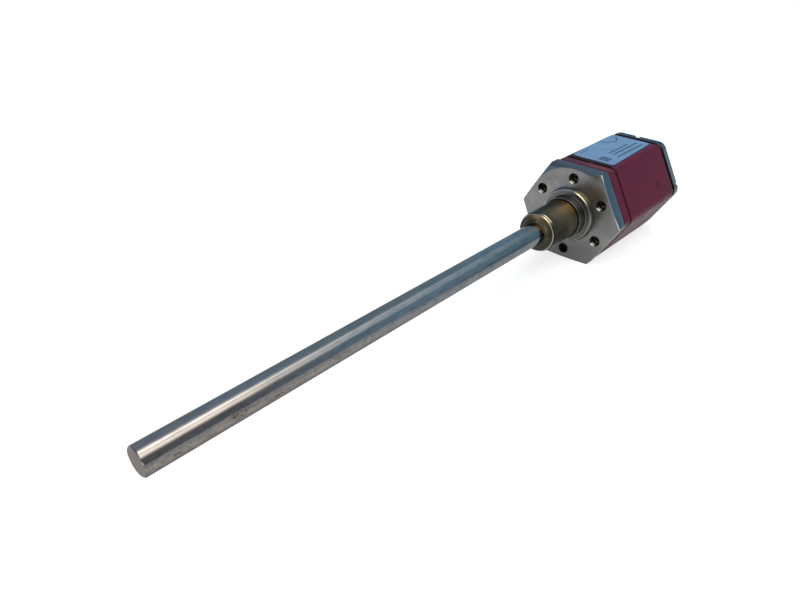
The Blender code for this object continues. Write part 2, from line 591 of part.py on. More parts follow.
def make_sensor_head(body, plastic, copper, magnet, root):
    """Moulded body on the spigot, with a pocket for the bobbin, its coil and the bias magnet."""
    head = piece("sensor_head", rod(SENSOR_BACK, SENSOR_FRONT, SENSOR_R, ROUND_STEPS), body, root)
    floor = -BOBBIN_FLANGE_R - FIT
    pocket = block(POCKET_BACK, POCKET_FRONT, -POCKET_W / 2, POCKET_W / 2, floor, SENSOR_R + BEHIND)
    combine(head, "DIFFERENCE", "pocket", [pocket])
    middle = (POCKET_BACK + POCKET_FRONT) / 2
    bores = [rod(middle, SENSOR_FRONT + BEHIND, SLEEVE_R + FIT, SMALL_STEPS),
             rod(SENSOR_BACK - BEHIND, POCKET_BACK + BEHIND / 2, WIRE_HOLE_R, TINY_STEPS)]
    combine(head, "DIFFERENCE", "bores", bores)

    front = POCKET_FRONT - FIT
    back = POCKET_BACK + FIT
    spool = [
        (back, WIRE_HOLE_R), (back, BOBBIN_FLANGE_R), (back + BOBBIN_FLANGE_T, BOBBIN_FLANGE_R),
        (back + BOBBIN_FLANGE_T, BOBBIN_CORE_R), (front - BOBBIN_FLANGE_T, BOBBIN_CORE_R),
        (front - BOBBIN_FLANGE_T, BOBBIN_FLANGE_R), (front, BOBBIN_FLANGE_R), (front, WIRE_HOLE_R),
    ]
    piece("coil_bobbin", turned(spool, SMALL_STEPS), plastic, root)
    winding = (back + BOBBIN_FLANGE_T + FIT, front - BOBBIN_FLANGE_T - FIT)
    piece("pickup_coil", pipe(*winding, BOBBIN_CORE_R + FIT, COIL_R, SMALL_STEPS), copper, root)
    lowest = BOBBIN_FLANGE_R + FIT
    half_width = POCKET_W / 2 - FIT
    ends = (middle - MAGNET_L / 2, middle + MAGNET_L / 2)
    bar = block(*ends, -half_width, half_width, lowest, lowest + MAGNET_H)
    piece("bias_magnet", bar, magnet, root)


def make_sensing_element(wire, ptfe, carrier, copper, rubber, root):
    """Waveguide wire in its sleeve, the slotted carrier tube, the return wire and the damper at the tip."""
    wire_tip = DAMPER_BACK + WIRE_IN_DAMPER
    piece("waveguide", rod(SENSOR_BACK, wire_tip, WIRE_R, TINY_STEPS), wire, root)
    sleeve = pipe(POCKET_FRONT, DAMPER_BACK - FIT, WIRE_HOLE_R, SLEEVE_R, SMALL_STEPS)
    piece("waveguide_sleeve", sleeve, ptfe, root)

    ends = (ELEMENT_BACK, DAMPER_BACK - FIT)
    element = piece("element_carrier", pipe(*ends, SLEEVE_R + FIT, ELEMENT_R, SMALL_STEPS), carrier, root)
    past = (ends[0] - BEHIND, ends[1] + BEHIND)
    slot = block(*past, -SLOT_W / 2, SLOT_W / 2, SLOT_FLOOR_R, ELEMENT_R + BEHIND)
    combine(element, "DIFFERENCE", "slot", [slot])
    piece("return_wire", rod(*ends, RETURN_R, TINY_STEPS, (0.0, SLOT_FLOOR_R + FIT + RETURN_R)), copper, root)

    blind = wire_tip + FIT
    damper = [(blind, 0.0), (blind, WIRE_HOLE_R), (DAMPER_BACK, WIRE_HOLE_R), (DAMPER_BACK, ELEMENT_R),
              (DAMPER_TIP, ELEMENT_R), (DAMPER_TIP, 0.0)]
    piece("damper", turned(damper, SMALL_STEPS), rubber, root)


def board_screw_places():
    """The (x, y, side) places of the board screws, side +1 on the upper board and -1 on the lower."""
    front = CHASSIS_FRONT - BOARD_SCREW_IN
    rear = BOARD_BACK + HEADER_SIZE[0] + FIT + BOARD_SCREW_HEAD_R
    places = []
    for side in (1.0, -1.0):
        places.append((front, BOARD_SCREW_Y, side))
        places.append((rear, -BOARD_SCREW_Y, side))
    return places


def make_boards(plastic, board_finish, steel, root):
    """Chassis with two shelves, a board on each and the screws that hold them."""
    shelf_in = CHASSIS_TOP - CHASSIS_SHELF_T
    half = BOARD_HALF_W
    web = CHASSIS_WEB_T / 2
    section = [(-half, -CHASSIS_TOP), (half, -CHASSIS_TOP), (half, -shelf_in), (web, -shelf_in),
               (web, shelf_in), (half, shelf_in), (half, CHASSIS_TOP), (-half, CHASSIS_TOP),
               (-half, shelf_in), (-web, shelf_in), (-web, -shelf_in), (-half, -shelf_in)]
    chassis = piece("electronics_chassis", prism(section, CHASSIS_BACK, CHASSIS_FRONT), plastic, root)
    boards = {}
    for name, side in (("main_board", 1.0), ("power_board", -1.0)):
        z0, z1 = sorted((side * BOARD_Z, side * BOARD_TOP))
        boards[side] = piece(name, block(BOARD_BACK, BOARD_FRONT, -half, half, z0, z1), board_finish, root)

    through = (shelf_in - BEHIND, BOARD_TOP + BEHIND)
    for side, board in boards.items():
        spots = [spot for spot in board_screw_places() if spot[2] == side]
        for target in (board, chassis):
            holes = [stood_up(rod(*through, BOARD_SCREW_R + FIT, TINY_STEPS), *spot) for spot in spots]
            combine(target, "DIFFERENCE", f"holes_{board.name}", holes)

    under_head = BOARD_TOP + FIT
    end = under_head - BOARD_SCREW_L
    over_head = under_head + BOARD_SCREW_HEAD_H
    profile = [(end, 0.0), (end, BOARD_SCREW_R), (under_head, BOARD_SCREW_R),
               (under_head, BOARD_SCREW_HEAD_R), (over_head, BOARD_SCREW_HEAD_R), (over_head, 0.0)]
    mesh = finish_mesh("board_screw", [turned(profile, TINY_STEPS)])
    mesh.materials.append(steel)
    for number, spot in enumerate(board_screw_places(), 1):
        place(f"board_screw_{number}", mesh, root, upright(*spot))


def make_board_parts(chip_finish, can_finish, header_finish, root):
    """Chips on the upper board, capacitors on the lower one and a header on each."""
    seat = BOARD_TOP + FIT
    for name, (ahead, y, length, width, height) in CHIPS.items():
        x = CHASSIS_FRONT + ahead
        body = block(x - length / 2, x + length / 2, y - width / 2, y + width / 2, seat, seat + height)
        piece(name, body, chip_finish, root)
    can = finish_mesh("capacitor", [rod(seat, seat + CAPACITOR_H, CAPACITOR_R, SMALL_STEPS)])
    can.materials.append(can_finish)
    for number, (ahead, y) in enumerate(CAPACITOR_PLACES, 1):
        place(f"capacitor_{number}", can, root, upright(CHASSIS_FRONT + ahead, y, -1.0))
    length, width, height = HEADER_SIZE
    for name, side in (("main_board_header", 1.0), ("power_board_header", -1.0)):
        z0, z1 = sorted((side * seat, side * (seat + height)))
        body = block(BOARD_BACK, BOARD_BACK + length, -width / 2, width / 2, z0, z1)
        piece(name, body, header_finish, root)


def main():
    clear_scene()
    root = bpy.data.objects.new("root", None)
    bpy.context.scene.collection.objects.link(root)
    root.location = (-(TUBE_TIP + SHELL_MOUTH) / 2, 0.0, FLANGE_AF / 2)

    stainless = surface("stainless_turned", (0.40, 0.38, 0.35), 0.36, 1.0)
    rod_steel = surface("stainless_rod", (0.46, 0.46, 0.46), 0.30, 1.0)
    burgundy = surface("burgundy_enamel", (0.13, 0.02, 0.035), 0.38, 0.0)
    cover_grey = surface("cover_grey", (0.20, 0.24, 0.25), 0.35, 0.7)
    rubber = surface("black_rubber", (0.015, 0.015, 0.017), 0.75, 0.0)
    steel = surface("screw_steel", (0.30, 0.30, 0.30), 0.35, 1.0)
    nickel = surface("nickel_plate", (0.55, 0.53, 0.49), 0.25, 1.0)
    black_plastic = surface("black_plastic", (0.02, 0.02, 0.02), 0.5, 0.0)
    pale_plastic = surface("pale_plastic", (0.55, 0.52, 0.45), 0.5, 0.0)
    gold = surface("gold_plate", (0.80, 0.58, 0.25), 0.25, 1.0)
    board_green = surface("board_green", (0.02, 0.14, 0.06), 0.45, 0.0)
    copper = surface("copper_wire", (0.60, 0.25, 0.12), 0.35, 1.0)
    ferrite = surface("ferrite", (0.05, 0.05, 0.055), 0.6, 0.2)
    alloy = surface("nickel_iron", (0.45, 0.43, 0.40), 0.3, 1.0)

    make_flange(stainless, root)
    make_spigot_ring(rubber, root)
    make_tube(rod_steel, root)
    socket_screws("flange_screw", -FLANGE_HEAD_DEPTH, 1.0, FLANGE_SCREW_L, steel, root)
    make_front_frame(burgundy, root)
    make_gasket("front_gasket", GASKET_FRONT, GASKET_BACK, rubber, root)
    make_housing(burgundy, root)
    make_gasket("rear_gasket", REAR_GASKET_FRONT, REAR_GASKET_BACK, rubber, root)
    make_rear_cover(cover_grey, root)
    socket_screws("cover_screw", COVER_BACK + COVER_HEAD_DEPTH, -1.0, COVER_SCREW_L, steel, root)
    pin_places = make_connector(nickel, rubber, black_plastic, gold, root)
    make_link_board(pin_places, board_green, root)
    make_sensor_head(black_plastic, pale_plastic, copper, ferrite, root)
    make_sensing_element(alloy, pale_plastic, pale_plastic, copper, rubber, root)
    make_boards(black_plastic, board_green, steel, root)
    make_board_parts(black_plastic, nickel, pale_plastic, root)


main()
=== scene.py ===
"""Looks of a rod-style position sensor: metal, enamel and rubber finishes, the fine edges and thread of its
turned pieces, the label, and the camera, light and floor it is seen with.

Sizes are in metres. X runs along the rod towards its tip, x = 0 of the datum is the flange's mounting
face, and angles round the rod are counted from +Y towards +Z.
"""

import json
import math

import bmesh
import bpy
from mathutils import Matrix, Vector


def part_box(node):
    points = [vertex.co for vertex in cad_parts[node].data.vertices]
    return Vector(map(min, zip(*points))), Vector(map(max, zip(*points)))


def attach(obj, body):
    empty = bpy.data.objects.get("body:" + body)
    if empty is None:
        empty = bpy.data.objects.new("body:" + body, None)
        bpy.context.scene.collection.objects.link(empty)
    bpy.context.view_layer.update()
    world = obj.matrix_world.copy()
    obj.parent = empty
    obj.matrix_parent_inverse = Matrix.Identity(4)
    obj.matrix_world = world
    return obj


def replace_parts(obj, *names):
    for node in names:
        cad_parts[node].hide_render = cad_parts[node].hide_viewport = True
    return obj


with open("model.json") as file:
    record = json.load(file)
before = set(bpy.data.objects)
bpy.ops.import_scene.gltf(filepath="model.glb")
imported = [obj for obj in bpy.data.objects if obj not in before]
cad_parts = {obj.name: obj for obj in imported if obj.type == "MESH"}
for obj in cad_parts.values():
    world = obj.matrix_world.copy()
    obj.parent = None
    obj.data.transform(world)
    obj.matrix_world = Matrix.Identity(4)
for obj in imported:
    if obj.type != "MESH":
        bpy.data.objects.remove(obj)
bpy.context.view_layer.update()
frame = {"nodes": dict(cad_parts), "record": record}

MM = 0.001

# Sizes that the fine pieces share with the solids
TUBE_R = 5.1 * MM
TUBE_WALL = 1.1 * MM
TUBE_TIP = 225.6 * MM
TUBE_BACK = -9.0 * MM
TUBE_TIP_BREAK = 0.45 * MM
TUBE_BLIND = 223.1 * MM
FLANGE_AF = 46.0 * MM
FLANGE_T = 7.0 * MM
CORNER_START_R = 22.75 * MM
CORNER_SLOPE = 0.26
COLLAR_R = 13.35 * MM
COLLAR_TOP_R = 12.7 * MM
COLLAR_SIDE = 0.4 * MM
COLLAR_H = 1.9 * MM
STEP_R = 10.3 * MM
STEP_END = 6.9 * MM
BOSS_R = 9.4 * MM
BOSS_END = 28.2 * MM
BOSS_CHAMFER_R = 0.5 * MM
BOSS_CHAMFER_L = 1.2 * MM
BEAD_R = 6.7 * MM                   # weld bead where the rod leaves the boss
BEAD_L = 1.6 * MM
BEAD_LIP = 0.25 * MM
BEAD_BULGE = (0.45 * BEAD_L, 2.6 * BEAD_LIP)    # from the boss's end and from the bore
SPIGOT_R = 14.5 * MM
SPIGOT_BACK = -11.5 * MM
SEAT_GAP = 0.3 * MM                 # between the flange's rear face and the head
GROOVE_FLOOR_R = 12.5 * MM
GROOVE_HALF = 1.15 * MM
BORE_R = 5.14 * MM                  # the weld closes the gap round the rod
BOLT_CIRCLE_R = 18.2 * MM
POCKET_R = 2.5 * MM
POCKET_DEPTH = 5.8 * MM
SCREW_HOLE_R = 1.55 * MM
HEAD_AF = 45.8 * MM
HEAD_CORNER_R = 3.5 * MM

# Where the datum lies, from the frame
TUBE_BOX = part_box("pressure_tube")
DATUM = Vector((TUBE_BOX[1].x - TUBE_TIP, 0.0, (TUBE_BOX[0].z + TUBE_BOX[1].z) / 2))

FINE = 144                          # facets of the fine turned pieces
ROUNDING_STEPS = 3                  # facets of a rounded edge
FIRST_HOLE = 30.0                   # the six holes, in degrees round the rod
HOLE_STEP = 60.0

# Stained places, painted highlight lines and painted shade on the finishes, in mm from the datum
RUST_AT = (14.2, 16.9)              # y and z of the flange's rust speck
SMUDGE_AT = (-47.4, -4.6)           # x and place along the right flat of the housing's smudge
HIGHLIGHT_WIDTH = (0.12, 0.14)           # half width and soft side of a painted highlight line
UNDERCUT_SHADE_X = 7.15                   # painted shade line where the boss leaves the step
# Near black of the painted shade on the boss
BOSS_SHADE_BLACK = (0.004, 0.004, 0.004)

# Soft borders between the finishes' zones, in mm: none of the zone's look at the first, all at the second
ON_FLAT = (22.6, 22.85)             # distance from the axis to the flange's flats
ON_COLLAR_FACE = (12.72, 12.5)      # radii
ON_STEP = (10.7, 10.4)
ON_BOSS = (9.7, 9.5)
ON_BEAD = (6.9, 6.6)
ON_TIP = (4.8, 4.5)
COVER_FRONT_SHADE = (-63.7, -63.5)   # places along the rod's axis
COVER_REAR_FACE = (-67.2, -67.5)
LABEL_EDGE_SHADOW = (0.55, 0.35)      # distance from the label's right edge of its painted shadow line

RIGHT_FLAT = (0.866, 0.5)           # the y and z of the way that the right flat faces, at 30 degrees
CORNER_SLANT = 2.67                 # degrees that a painted reflection's border on the cone leans for each mm outwards

# Scuffs on the rod: x and half length in mm, angle and half width in degrees
ROD_SCUFFS = ((195.0, 3.0, 5.0, 13.0), (180.0, 4.8, -6.0, 4.5), (216.0, 1.2, -2.0, 5.0),
              (184.5, 1.0, -31.0, 5.0))

# A thin oxide film: the steel mirrors less at a grazing angle
ROD_GRAZING_TINT = (0.80, 0.80, 0.80)
FLANGE_GRAZING_TINT = (0.68, 0.68, 0.68)

# How light the rod's steel is painted round it, as painted reflection bands: (angle in degrees, share of the
# full tone)
ROD_REFLECTION_BANDS = ((-180.0, 0.75), (-100.0, 0.55), (-60.0, 0.40), (-34.0, 0.18), (-24.0, 0.24), (-9.0, 0.68),
            (2.0, 0.72), (12.0, 0.60), (20.0, 0.42), (26.0, 1.0), (98.0, 1.0), (108.0, 0.62),
            (140.0, 0.65), (180.0, 0.75))


def polar(radius, degrees):
    """The (y, z) place at this radius and angle."""
    turn = math.radians(degrees)
    return radius * math.cos(turn), radius * math.sin(turn)


def rounded(profile, radius):
    """The (x, r) profile with its inner points rounded by arcs of about this radius."""
    points = [Vector(point) for point in profile]
    made = [points[0]]
    for before, here, after in zip(points, points[1:], points[2:]):
        back, forth = before - here, after - here
        reach = min(radius, back.length * 0.45, forth.length * 0.45)
        start = here + back.normalized() * reach
        end = here + forth.normalized() * reach
        for step in range(ROUNDING_STEPS + 1):
            t = step / ROUNDING_STEPS
            made.append(start * (1 - t) ** 2 + here * 2 * t * (1 - t) + end * t ** 2)
    made.append(points[-1])
    return made


def turned(profile, segments, centre=(0.0, 0.0)):
    """A closed solid: the (x, r) profile spun about the X axis."""
    bm = bmesh.new()
    verts = [bm.verts.new((x, radius, 0.0)) for x, radius in profile]
    pairs = list(zip(verts, verts[1:]))
    if profile[0][1] > 0.0:
        pairs.append((verts[-1], verts[0]))
    edges = [bm.edges.new(pair) for pair in pairs]
    bmesh.ops.spin(bm, geom=verts + edges, cent=(0.0, 0.0, 0.0), axis=(1.0, 0.0, 0.0),
                   angle=math.tau, steps=segments, use_merge=True)
    bmesh.ops.remove_doubles(bm, verts=bm.verts, dist=1e-6)
    bmesh.ops.recalc_face_normals(bm, faces=bm.faces)
    bmesh.ops.translate(bm, verts=bm.verts, vec=(0.0, *centre))
    return bm


def block(bm, size, centre):
    """Add a box of this size to the mesh."""
    made = bmesh.ops.create_cube(bm, size=1.0)["verts"]
    bmesh.ops.scale(bm, vec=size, verts=made)
    bmesh.ops.translate(bm, vec=centre, verts=made)


def shown(name, bm, material, sharp=35.0):
    """A piece of the object from a mesh drawn in the datum, moved to the datum's place."""
    bm.transform(Matrix.Translation(DATUM))
    mesh = bpy.data.meshes.new(name)
    bm.to_mesh(mesh)
    bm.free()
    mesh.shade_smooth()
    mesh.set_sharp_from_angle(angle=math.radians(sharp))
    mesh.materials.append(material)
    obj = bpy.data.objects.new(name, mesh)
    bpy.context.scene.collection.objects.link(obj)
    return obj


class Finish:
    """A Principled material and short calls that add nodes to it."""

    def __init__(self, name, tree=None):
        if tree is None:
            self.material = bpy.data.materials.new(name)
            self.material.use_nodes = True
            tree = self.material.node_tree
            self.shader = tree.nodes["Principled BSDF"]
        self.nodes, self.links = tree.nodes, tree.links

    def add(self, kind, **settings):
        node = self.nodes.new("ShaderNode" + kind)
        for key, value in settings.items():
            setattr(node, key, value)
        return node

    def feed(self, socket, value):
        if isinstance(value, bpy.types.NodeSocket):
            self.links.new(value, socket)
        else:
            socket.default_value = value

    def math(self, operation, a, b=0.0):
        node = self.add("Math", operation=operation)
        self.feed(node.inputs[0], a)
        self.feed(node.inputs[1], b)
        return node.outputs[0]

    def both(self, *zones):
        """The zones' product, which is 1 only where all of them are."""
        product = zones[0]
        for zone in zones[1:]:
            product = self.math("MULTIPLY", product, zone)
        return product

    def place(self):
        """The point's place in the datum, in millimetres, as a vector and as x, y and z."""
        shift = self.add("VectorMath", operation="SUBTRACT")
        self.feed(shift.inputs[0], self.add("TexCoord").outputs["Object"])
        self.feed(shift.inputs[1], DATUM)
        scale = self.add("VectorMath", operation="SCALE")
        self.feed(scale.inputs[0], shift.outputs[0])
        self.feed(scale.inputs["Scale"], 1.0 / MM)
        split = self.add("SeparateXYZ")
        self.feed(split.inputs[0], scale.outputs[0])
        return scale.outputs[0], *split.outputs

    def vector(self, x, y, z):
        node = self.add("CombineXYZ")
        for socket, value in zip(node.inputs, (x, y, z)):
            self.feed(socket, value)
        return node.outputs[0]

    def stretched(self, vector, scale):
        node = self.add("VectorMath", operation="MULTIPLY")
        self.feed(node.inputs[0], vector)
        self.feed(node.inputs[1], scale)
        return node.outputs[0]

    def noise(self, vector, scale, detail=3.0, rough=0.5):
        node = self.add("TexNoise")
        self.feed(node.inputs["Vector"], vector)
        self.feed(node.inputs["Scale"], scale)
        self.feed(node.inputs["Detail"], detail)
        self.feed(node.inputs["Roughness"], rough)
        return node.outputs[0]

    def span(self, value, low, high, to_low=0.0, to_high=1.0, smooth=True):
        """The value carried from the range low..high to another range, and held at its ends."""
        node = self.add("MapRange", interpolation_type="SMOOTHSTEP" if smooth else "LINEAR")
        for socket, number in zip(node.inputs, (value, low, high, to_low, to_high)):
            self.feed(socket, number)
        return node.outputs[0]

    def ramp(self, value, stops):
        """A colour ramp; stops are (place, (r, g, b) or one grey value)."""
        node = self.add("ValToRGB")
        elements = node.color_ramp.elements
        while len(elements) < len(stops):
            elements.new(0.5)
        for element, (where, colour) in zip(elements, stops):
            element.position = where
            element.color = (*colour, 1.0) if isinstance(colour, tuple) else (colour, colour, colour, 1.0)
        self.feed(node.inputs[0], value)
        return node.outputs[0]

    def mix(self, share, a, b, blend="MIX"):
        node = self.add("Mix", data_type="RGBA", blend_type=blend)
        self.feed(node.inputs["Factor"], share)
        for socket, value in ((node.inputs[6], a), (node.inputs[7], b)):
            self.feed(socket, (*value, 1.0) if isinstance(value, tuple) else value)
        return node.outputs[2]

    def bump(self, height, depth, strength, under=None):
        node = self.add("Bump")
        self.feed(node.inputs["Strength"], strength)
        self.feed(node.inputs["Distance"], depth)
        self.feed(node.inputs["Height"], height)
        if under is not None:
            self.feed(node.inputs["Normal"], under)
        return node.outputs[0]

    def near(self, value, centre, half, soft):
        """1 where the value lies within half of centre, falling to 0 over soft."""
        away = self.math("ABSOLUTE", self.math("SUBTRACT", value, centre))
        return self.span(away, half, half + soft, 1.0, 0.0)

    def finish(self, **sockets):
        """Set or link the shader's sockets, given by name with _ for a space."""
        for name, value in sockets.items():
            socket = self.shader.inputs[name.replace("_", " ")]
            self.feed(socket, (*value, 1.0) if isinstance(value, tuple) and len(value) == 3 else value)
        return self.material


def around(f, y, z):
    """Angle round the rod's axis in degrees, from +Y towards +Z, and the distance from the axis in mm."""
    angle = f.math("MULTIPLY", f.math("ARCTAN2", z, y), 180.0 / math.pi)
    radius = f.math("SQRT", f.math("ADD", f.math("MULTIPLY", y, y), f.math("MULTIPLY", z, z)))
    return angle, radius


def across_right_flat(f, y, z):
    """Distance in mm from the axis towards the right flat."""
    return f.math("ADD", f.math("MULTIPLY", y, RIGHT_FLAT[0]), f.math("MULTIPLY", z, RIGHT_FLAT[1]))


def along_right_flat(f, y, z):
    """Place in mm along the right flat, upwards from its middle."""
    return f.math("SUBTRACT", f.math("MULTIPLY", z, RIGHT_FLAT[0]), f.math("MULTIPLY", y, RIGHT_FLAT[1]))


def rod_tones(f, colour, place, x, angle):
    """The steel's colour with painted reflection bands along the rod, mottled below, and painted bluer near
    the boss.
    """
    # Painted reflection bands round the rod
    tone = f.ramp(f.span(angle, -180.0, 180.0, smooth=False),
                  [((where + 180.0) / 360.0, share) for where, share in ROD_REFLECTION_BANDS])
    colour = f.mix(1.0, colour, tone, "MULTIPLY")
    mottle = f.noise(f.stretched(place, (0.6, 1.0, 1.0)), 0.85, 5.0, 0.75)
    spots = f.ramp(mottle, [(0.36, (0.70, 0.64, 0.58)), (0.5, (1.0, 1.0, 1.0)), (0.64, (1.12, 1.08, 1.06))])
    colour = f.mix(f.span(angle, 24.0, 14.0), colour, spots, "MULTIPLY")
    # Painted lilac reflection beside the lower band, weaker near the boss
    lilac_reflection = f.both(f.near(angle, 19.0, 3.0, 4.0), f.span(x, 40.0, 120.0, 0.5, 1.0))
    colour = f.mix(lilac_reflection, colour, (1.08, 1.19, 1.34), "MULTIPLY")
    # Painted shade beside the lower band, growing towards the boss
    shade = f.both(f.near(angle, 18.0, 4.0, 5.0), f.span(x, 130.0, 50.0, 0.0, 0.55))
    colour = f.mix(shade, colour, (0.02, 0.03, 0.035))
    # Painted reflection: the lower side darker and bluer towards the boss
    low = f.both(f.span(angle, 27.0, 20.0), f.span(x, 210.0, 50.0))
    return f.mix(low, colour, (0.70, 0.88, 1.06), "MULTIPLY")


def rod_scuffs(f, place, x, angle):
    """1 in the dark scuffs near the rod's tip, broken up by fine noise."""
    scuffs = 0.0
    for centre, half, turn, half_turn in ROD_SCUFFS:
        patch = f.both(f.near(x, centre, half * 0.5, half), f.near(angle, turn, half_turn * 0.5, half_turn))
        scuffs = f.math("MAXIMUM", scuffs, patch)
    broken = f.span(f.noise(f.stretched(place, (1.0, 1.5, 1.5)), 1.1, 5.0, 0.8), 0.44, 0.56)
    return f.both(scuffs, broken)


def rod_steel():
    """Drawn stainless tube: fine lines along it, cloudy handling marks, dark scuffs, a ground tip and a
    painted reflection of the boss.
    """
    f = Finish("rod_steel")
    place, x, y, z = f.place()
    angle, radius = around(f, y, z)
    lines = f.noise(f.stretched(place, (0.03, 9.0, 9.0)), 1.0, 4.0, 0.6)
    clouds = f.noise(f.stretched(place, (0.35, 1.0, 1.0)), 0.5, 5.0, 0.65)
    specks = f.noise(place, 2.6, 4.0, 0.75)
    colour = f.ramp(clouds, [(0.30, (0.225, 0.205, 0.195)), (0.5, (0.29, 0.262, 0.242)),
                             (0.75, (0.335, 0.295, 0.265))])
    colour = f.mix(f.span(specks, 0.58, 0.74, 0.0, 0.45), colour, (0.13, 0.095, 0.075))
    colour = rod_tones(f, colour, place, x, angle)
    scuffs = rod_scuffs(f, place, x, angle)
    colour = f.mix(f.math("MULTIPLY", scuffs, 0.85), colour, (0.045, 0.042, 0.032))
    # Painted reflection of the boss: the rod's upper side darker and warmer beside it
    boss_reflection = f.both(f.span(x, 48.0, 34.0), f.span(angle, 44.0, 56.0))
    colour = f.mix(boss_reflection, colour, (0.86, 0.74, 0.68), "MULTIPLY")
    tip_x = TUBE_TIP / MM
    tip = f.both(f.span(x, tip_x - 0.12, tip_x - 0.02), f.span(radius, *ON_TIP))
    ground = f.ramp(specks, [(0.35, (0.135, 0.114, 0.102)), (0.65, (0.195, 0.170, 0.156))])
    colour = f.mix(tip, colour, ground)
    rough = f.span(clouds, 0.3, 0.75, 0.12, 0.19)
    rough = f.math("ADD", rough, f.math("MULTIPLY", f.math("MAXIMUM", scuffs, tip), 0.35))
    return f.finish(Base_Color=colour, Metallic=1.0, Roughness=rough, Normal=f.bump(lines, 0.004 * MM, 0.6),
                    Specular_Tint=ROD_GRAZING_TINT)


def plate_edges(f, plate, x, y, z, angle, radius):
    """The plate's colour with bluish painted reflections on its cone and flats, and painted highlights on the
    right flat's edge and by the collar.
    """
    past_arc = f.math("SUBTRACT", radius, CORNER_START_R / MM)
    off_cone = f.math("ADD", x, f.math("MULTIPLY", past_arc, CORNER_SLOPE))
    on_cone = f.both(f.near(off_cone, 0.0, 0.05, 0.05), f.span(past_arc, -0.1, 0.1))
    behind_edge = f.span(off_cone, -0.06, -0.14)
    slanted = f.math("ADD", angle, f.math("MULTIPLY", past_arc, CORNER_SLANT))
    # Painted reflections on the cone: bluish on its upper part, plate tone on its right
    cone_upper_reflection = f.both(f.span(slanted, 68.5, 71.0), f.span(angle, 147.0, 138.0))
    plate = f.mix(f.both(on_cone, cone_upper_reflection), plate, (0.094, 0.132, 0.164))
    right = f.both(f.near(angle, 28.0, 30.0, 5.0), f.span(slanted, 68.5, 66.0))
    plate = f.mix(f.both(on_cone, right), plate, (0.150, 0.158, 0.155))
    # Painted reflections on the right flat and the top flat
    on_right_flat = f.span(across_right_flat(f, y, z), *ON_FLAT)
    plate = f.mix(f.both(on_right_flat, behind_edge), plate, (0.142, 0.171, 0.200))
    plate = f.mix(f.both(f.span(z, *ON_FLAT), behind_edge), plate, (0.166, 0.148, 0.150))
    # Painted highlight along the right flat's edge, dimmer at its ends
    edge = f.both(f.near(off_cone, -0.08, 0.08, 0.08), on_right_flat)
    ends = f.math("MAXIMUM", f.span(angle, 16.0, 4.0), f.span(angle, 52.0, 58.0))
    plate = f.mix(edge, plate, f.mix(ends, (0.34, 0.36, 0.34), (0.74, 0.72, 0.64)))
    # Golden painted highlight on the face just outside the collar, at the upper right
    collar_highlight = f.both(f.near(radius, COLLAR_R / MM + 0.25, 0.10, 0.08), f.span(x, -0.1, 0.0),
                  f.near(angle, 59.0, 3.0, 20.0))
    return f.mix(collar_highlight, plate, (1.0, 0.88, 0.60))


def plate_colour(f, x, y, z, angle, radius, clouds, grain):
    """The hexagon plate's face, cloudy grey: painted shade, painted olive reflection at upper right, one rust
    speck, fine stains.
    """
    plate = f.ramp(clouds, [(0.3, (0.150, 0.146, 0.142)), (0.5, (0.188, 0.186, 0.185)),
                            (0.7, (0.222, 0.217, 0.213))])
    # Painted shade: darker towards the bottom
    plate = f.mix(f.span(z, -5.0, -17.0), plate, (0.122, 0.122, 0.124))
    # Painted reflection tones: olive at the upper right, then grey at the right
    olive_reflection = f.both(f.near(angle, 52.0, 10.0, 18.0), f.span(radius, 14.5, 19.0))
    plate = f.mix(olive_reflection, plate, (0.125, 0.117, 0.105))
    right = f.both(f.near(angle, 8.0, 14.0, 16.0), f.span(radius, 17.0, 20.5))
    plate = f.mix(right, plate, (0.150, 0.150, 0.142))
    rust = f.both(f.near(y, RUST_AT[0], 0.3, 1.3), f.near(z, RUST_AT[1], 0.3, 1.3))
    plate = f.mix(f.math("MULTIPLY", rust, 0.7), plate, (0.19, 0.095, 0.055))
    plate = f.mix(f.span(grain, 0.52, 0.75, 0.0, 0.35), plate, (0.11, 0.095, 0.082))
    return plate_edges(f, plate, x, y, z, angle, radius)


def boss_colour(f, x, angle, tone):
    """The boss with painted light and shade: a warm glow, strongest at its foot, shade towards its end and a
    warm-lit end face.
    """
    boss = f.ramp(tone, [(0.35, (0.048, 0.042, 0.029)), (0.65, (0.100, 0.083, 0.053))])
    # Painted light: the upper left side lighter
    boss = f.mix(f.span(angle, 70.0, 100.0), boss, (2.1, 2.2, 1.9), "MULTIPLY")
    # Painted warm glow of reflected light at the upper right, strongest at the foot
    warm_glow = f.both(f.span(x, 31.0, 10.0), f.near(angle, 55.0, 14.0, 34.0))
    boss = f.mix(f.math("MULTIPLY", warm_glow, 0.9), boss, (0.29, 0.175, 0.080))
    # Painted light on the lower side at the foot
    lit_foot = f.both(f.span(angle, 40.0, 14.0), f.span(x, 19.0, 10.0))
    boss = f.mix(lit_foot, boss, (2.0, 2.1, 2.2), "MULTIPLY")
    # Painted shade on the lower side towards the end
    lower_shade = f.both(f.span(angle, 34.0, 2.0), f.span(x, 9.0, 23.0, 0.0, 0.85))
    boss = f.mix(lower_shade, boss, BOSS_SHADE_BLACK)
    # Painted shade on the upper side towards the end
    upper_shade = f.both(f.span(angle, 82.0, 100.0), f.span(x, 9.0, 24.0, 0.0, 0.7))
    boss = f.mix(upper_shade, boss, BOSS_SHADE_BLACK)
    end_face = f.ramp(tone, [(0.35, (0.028, 0.027, 0.023)), (0.65, (0.050, 0.046, 0.036))])
    # Warm painted highlight on the end face's upper right
    end_face = f.mix(f.near(angle, 66.0, 26.0, 30.0), end_face, (4.0, 3.3, 2.2), "MULTIPLY")
    return f.mix(f.span(x, BOSS_END / MM - 0.06, BOSS_END / MM - 0.01), boss, end_face)


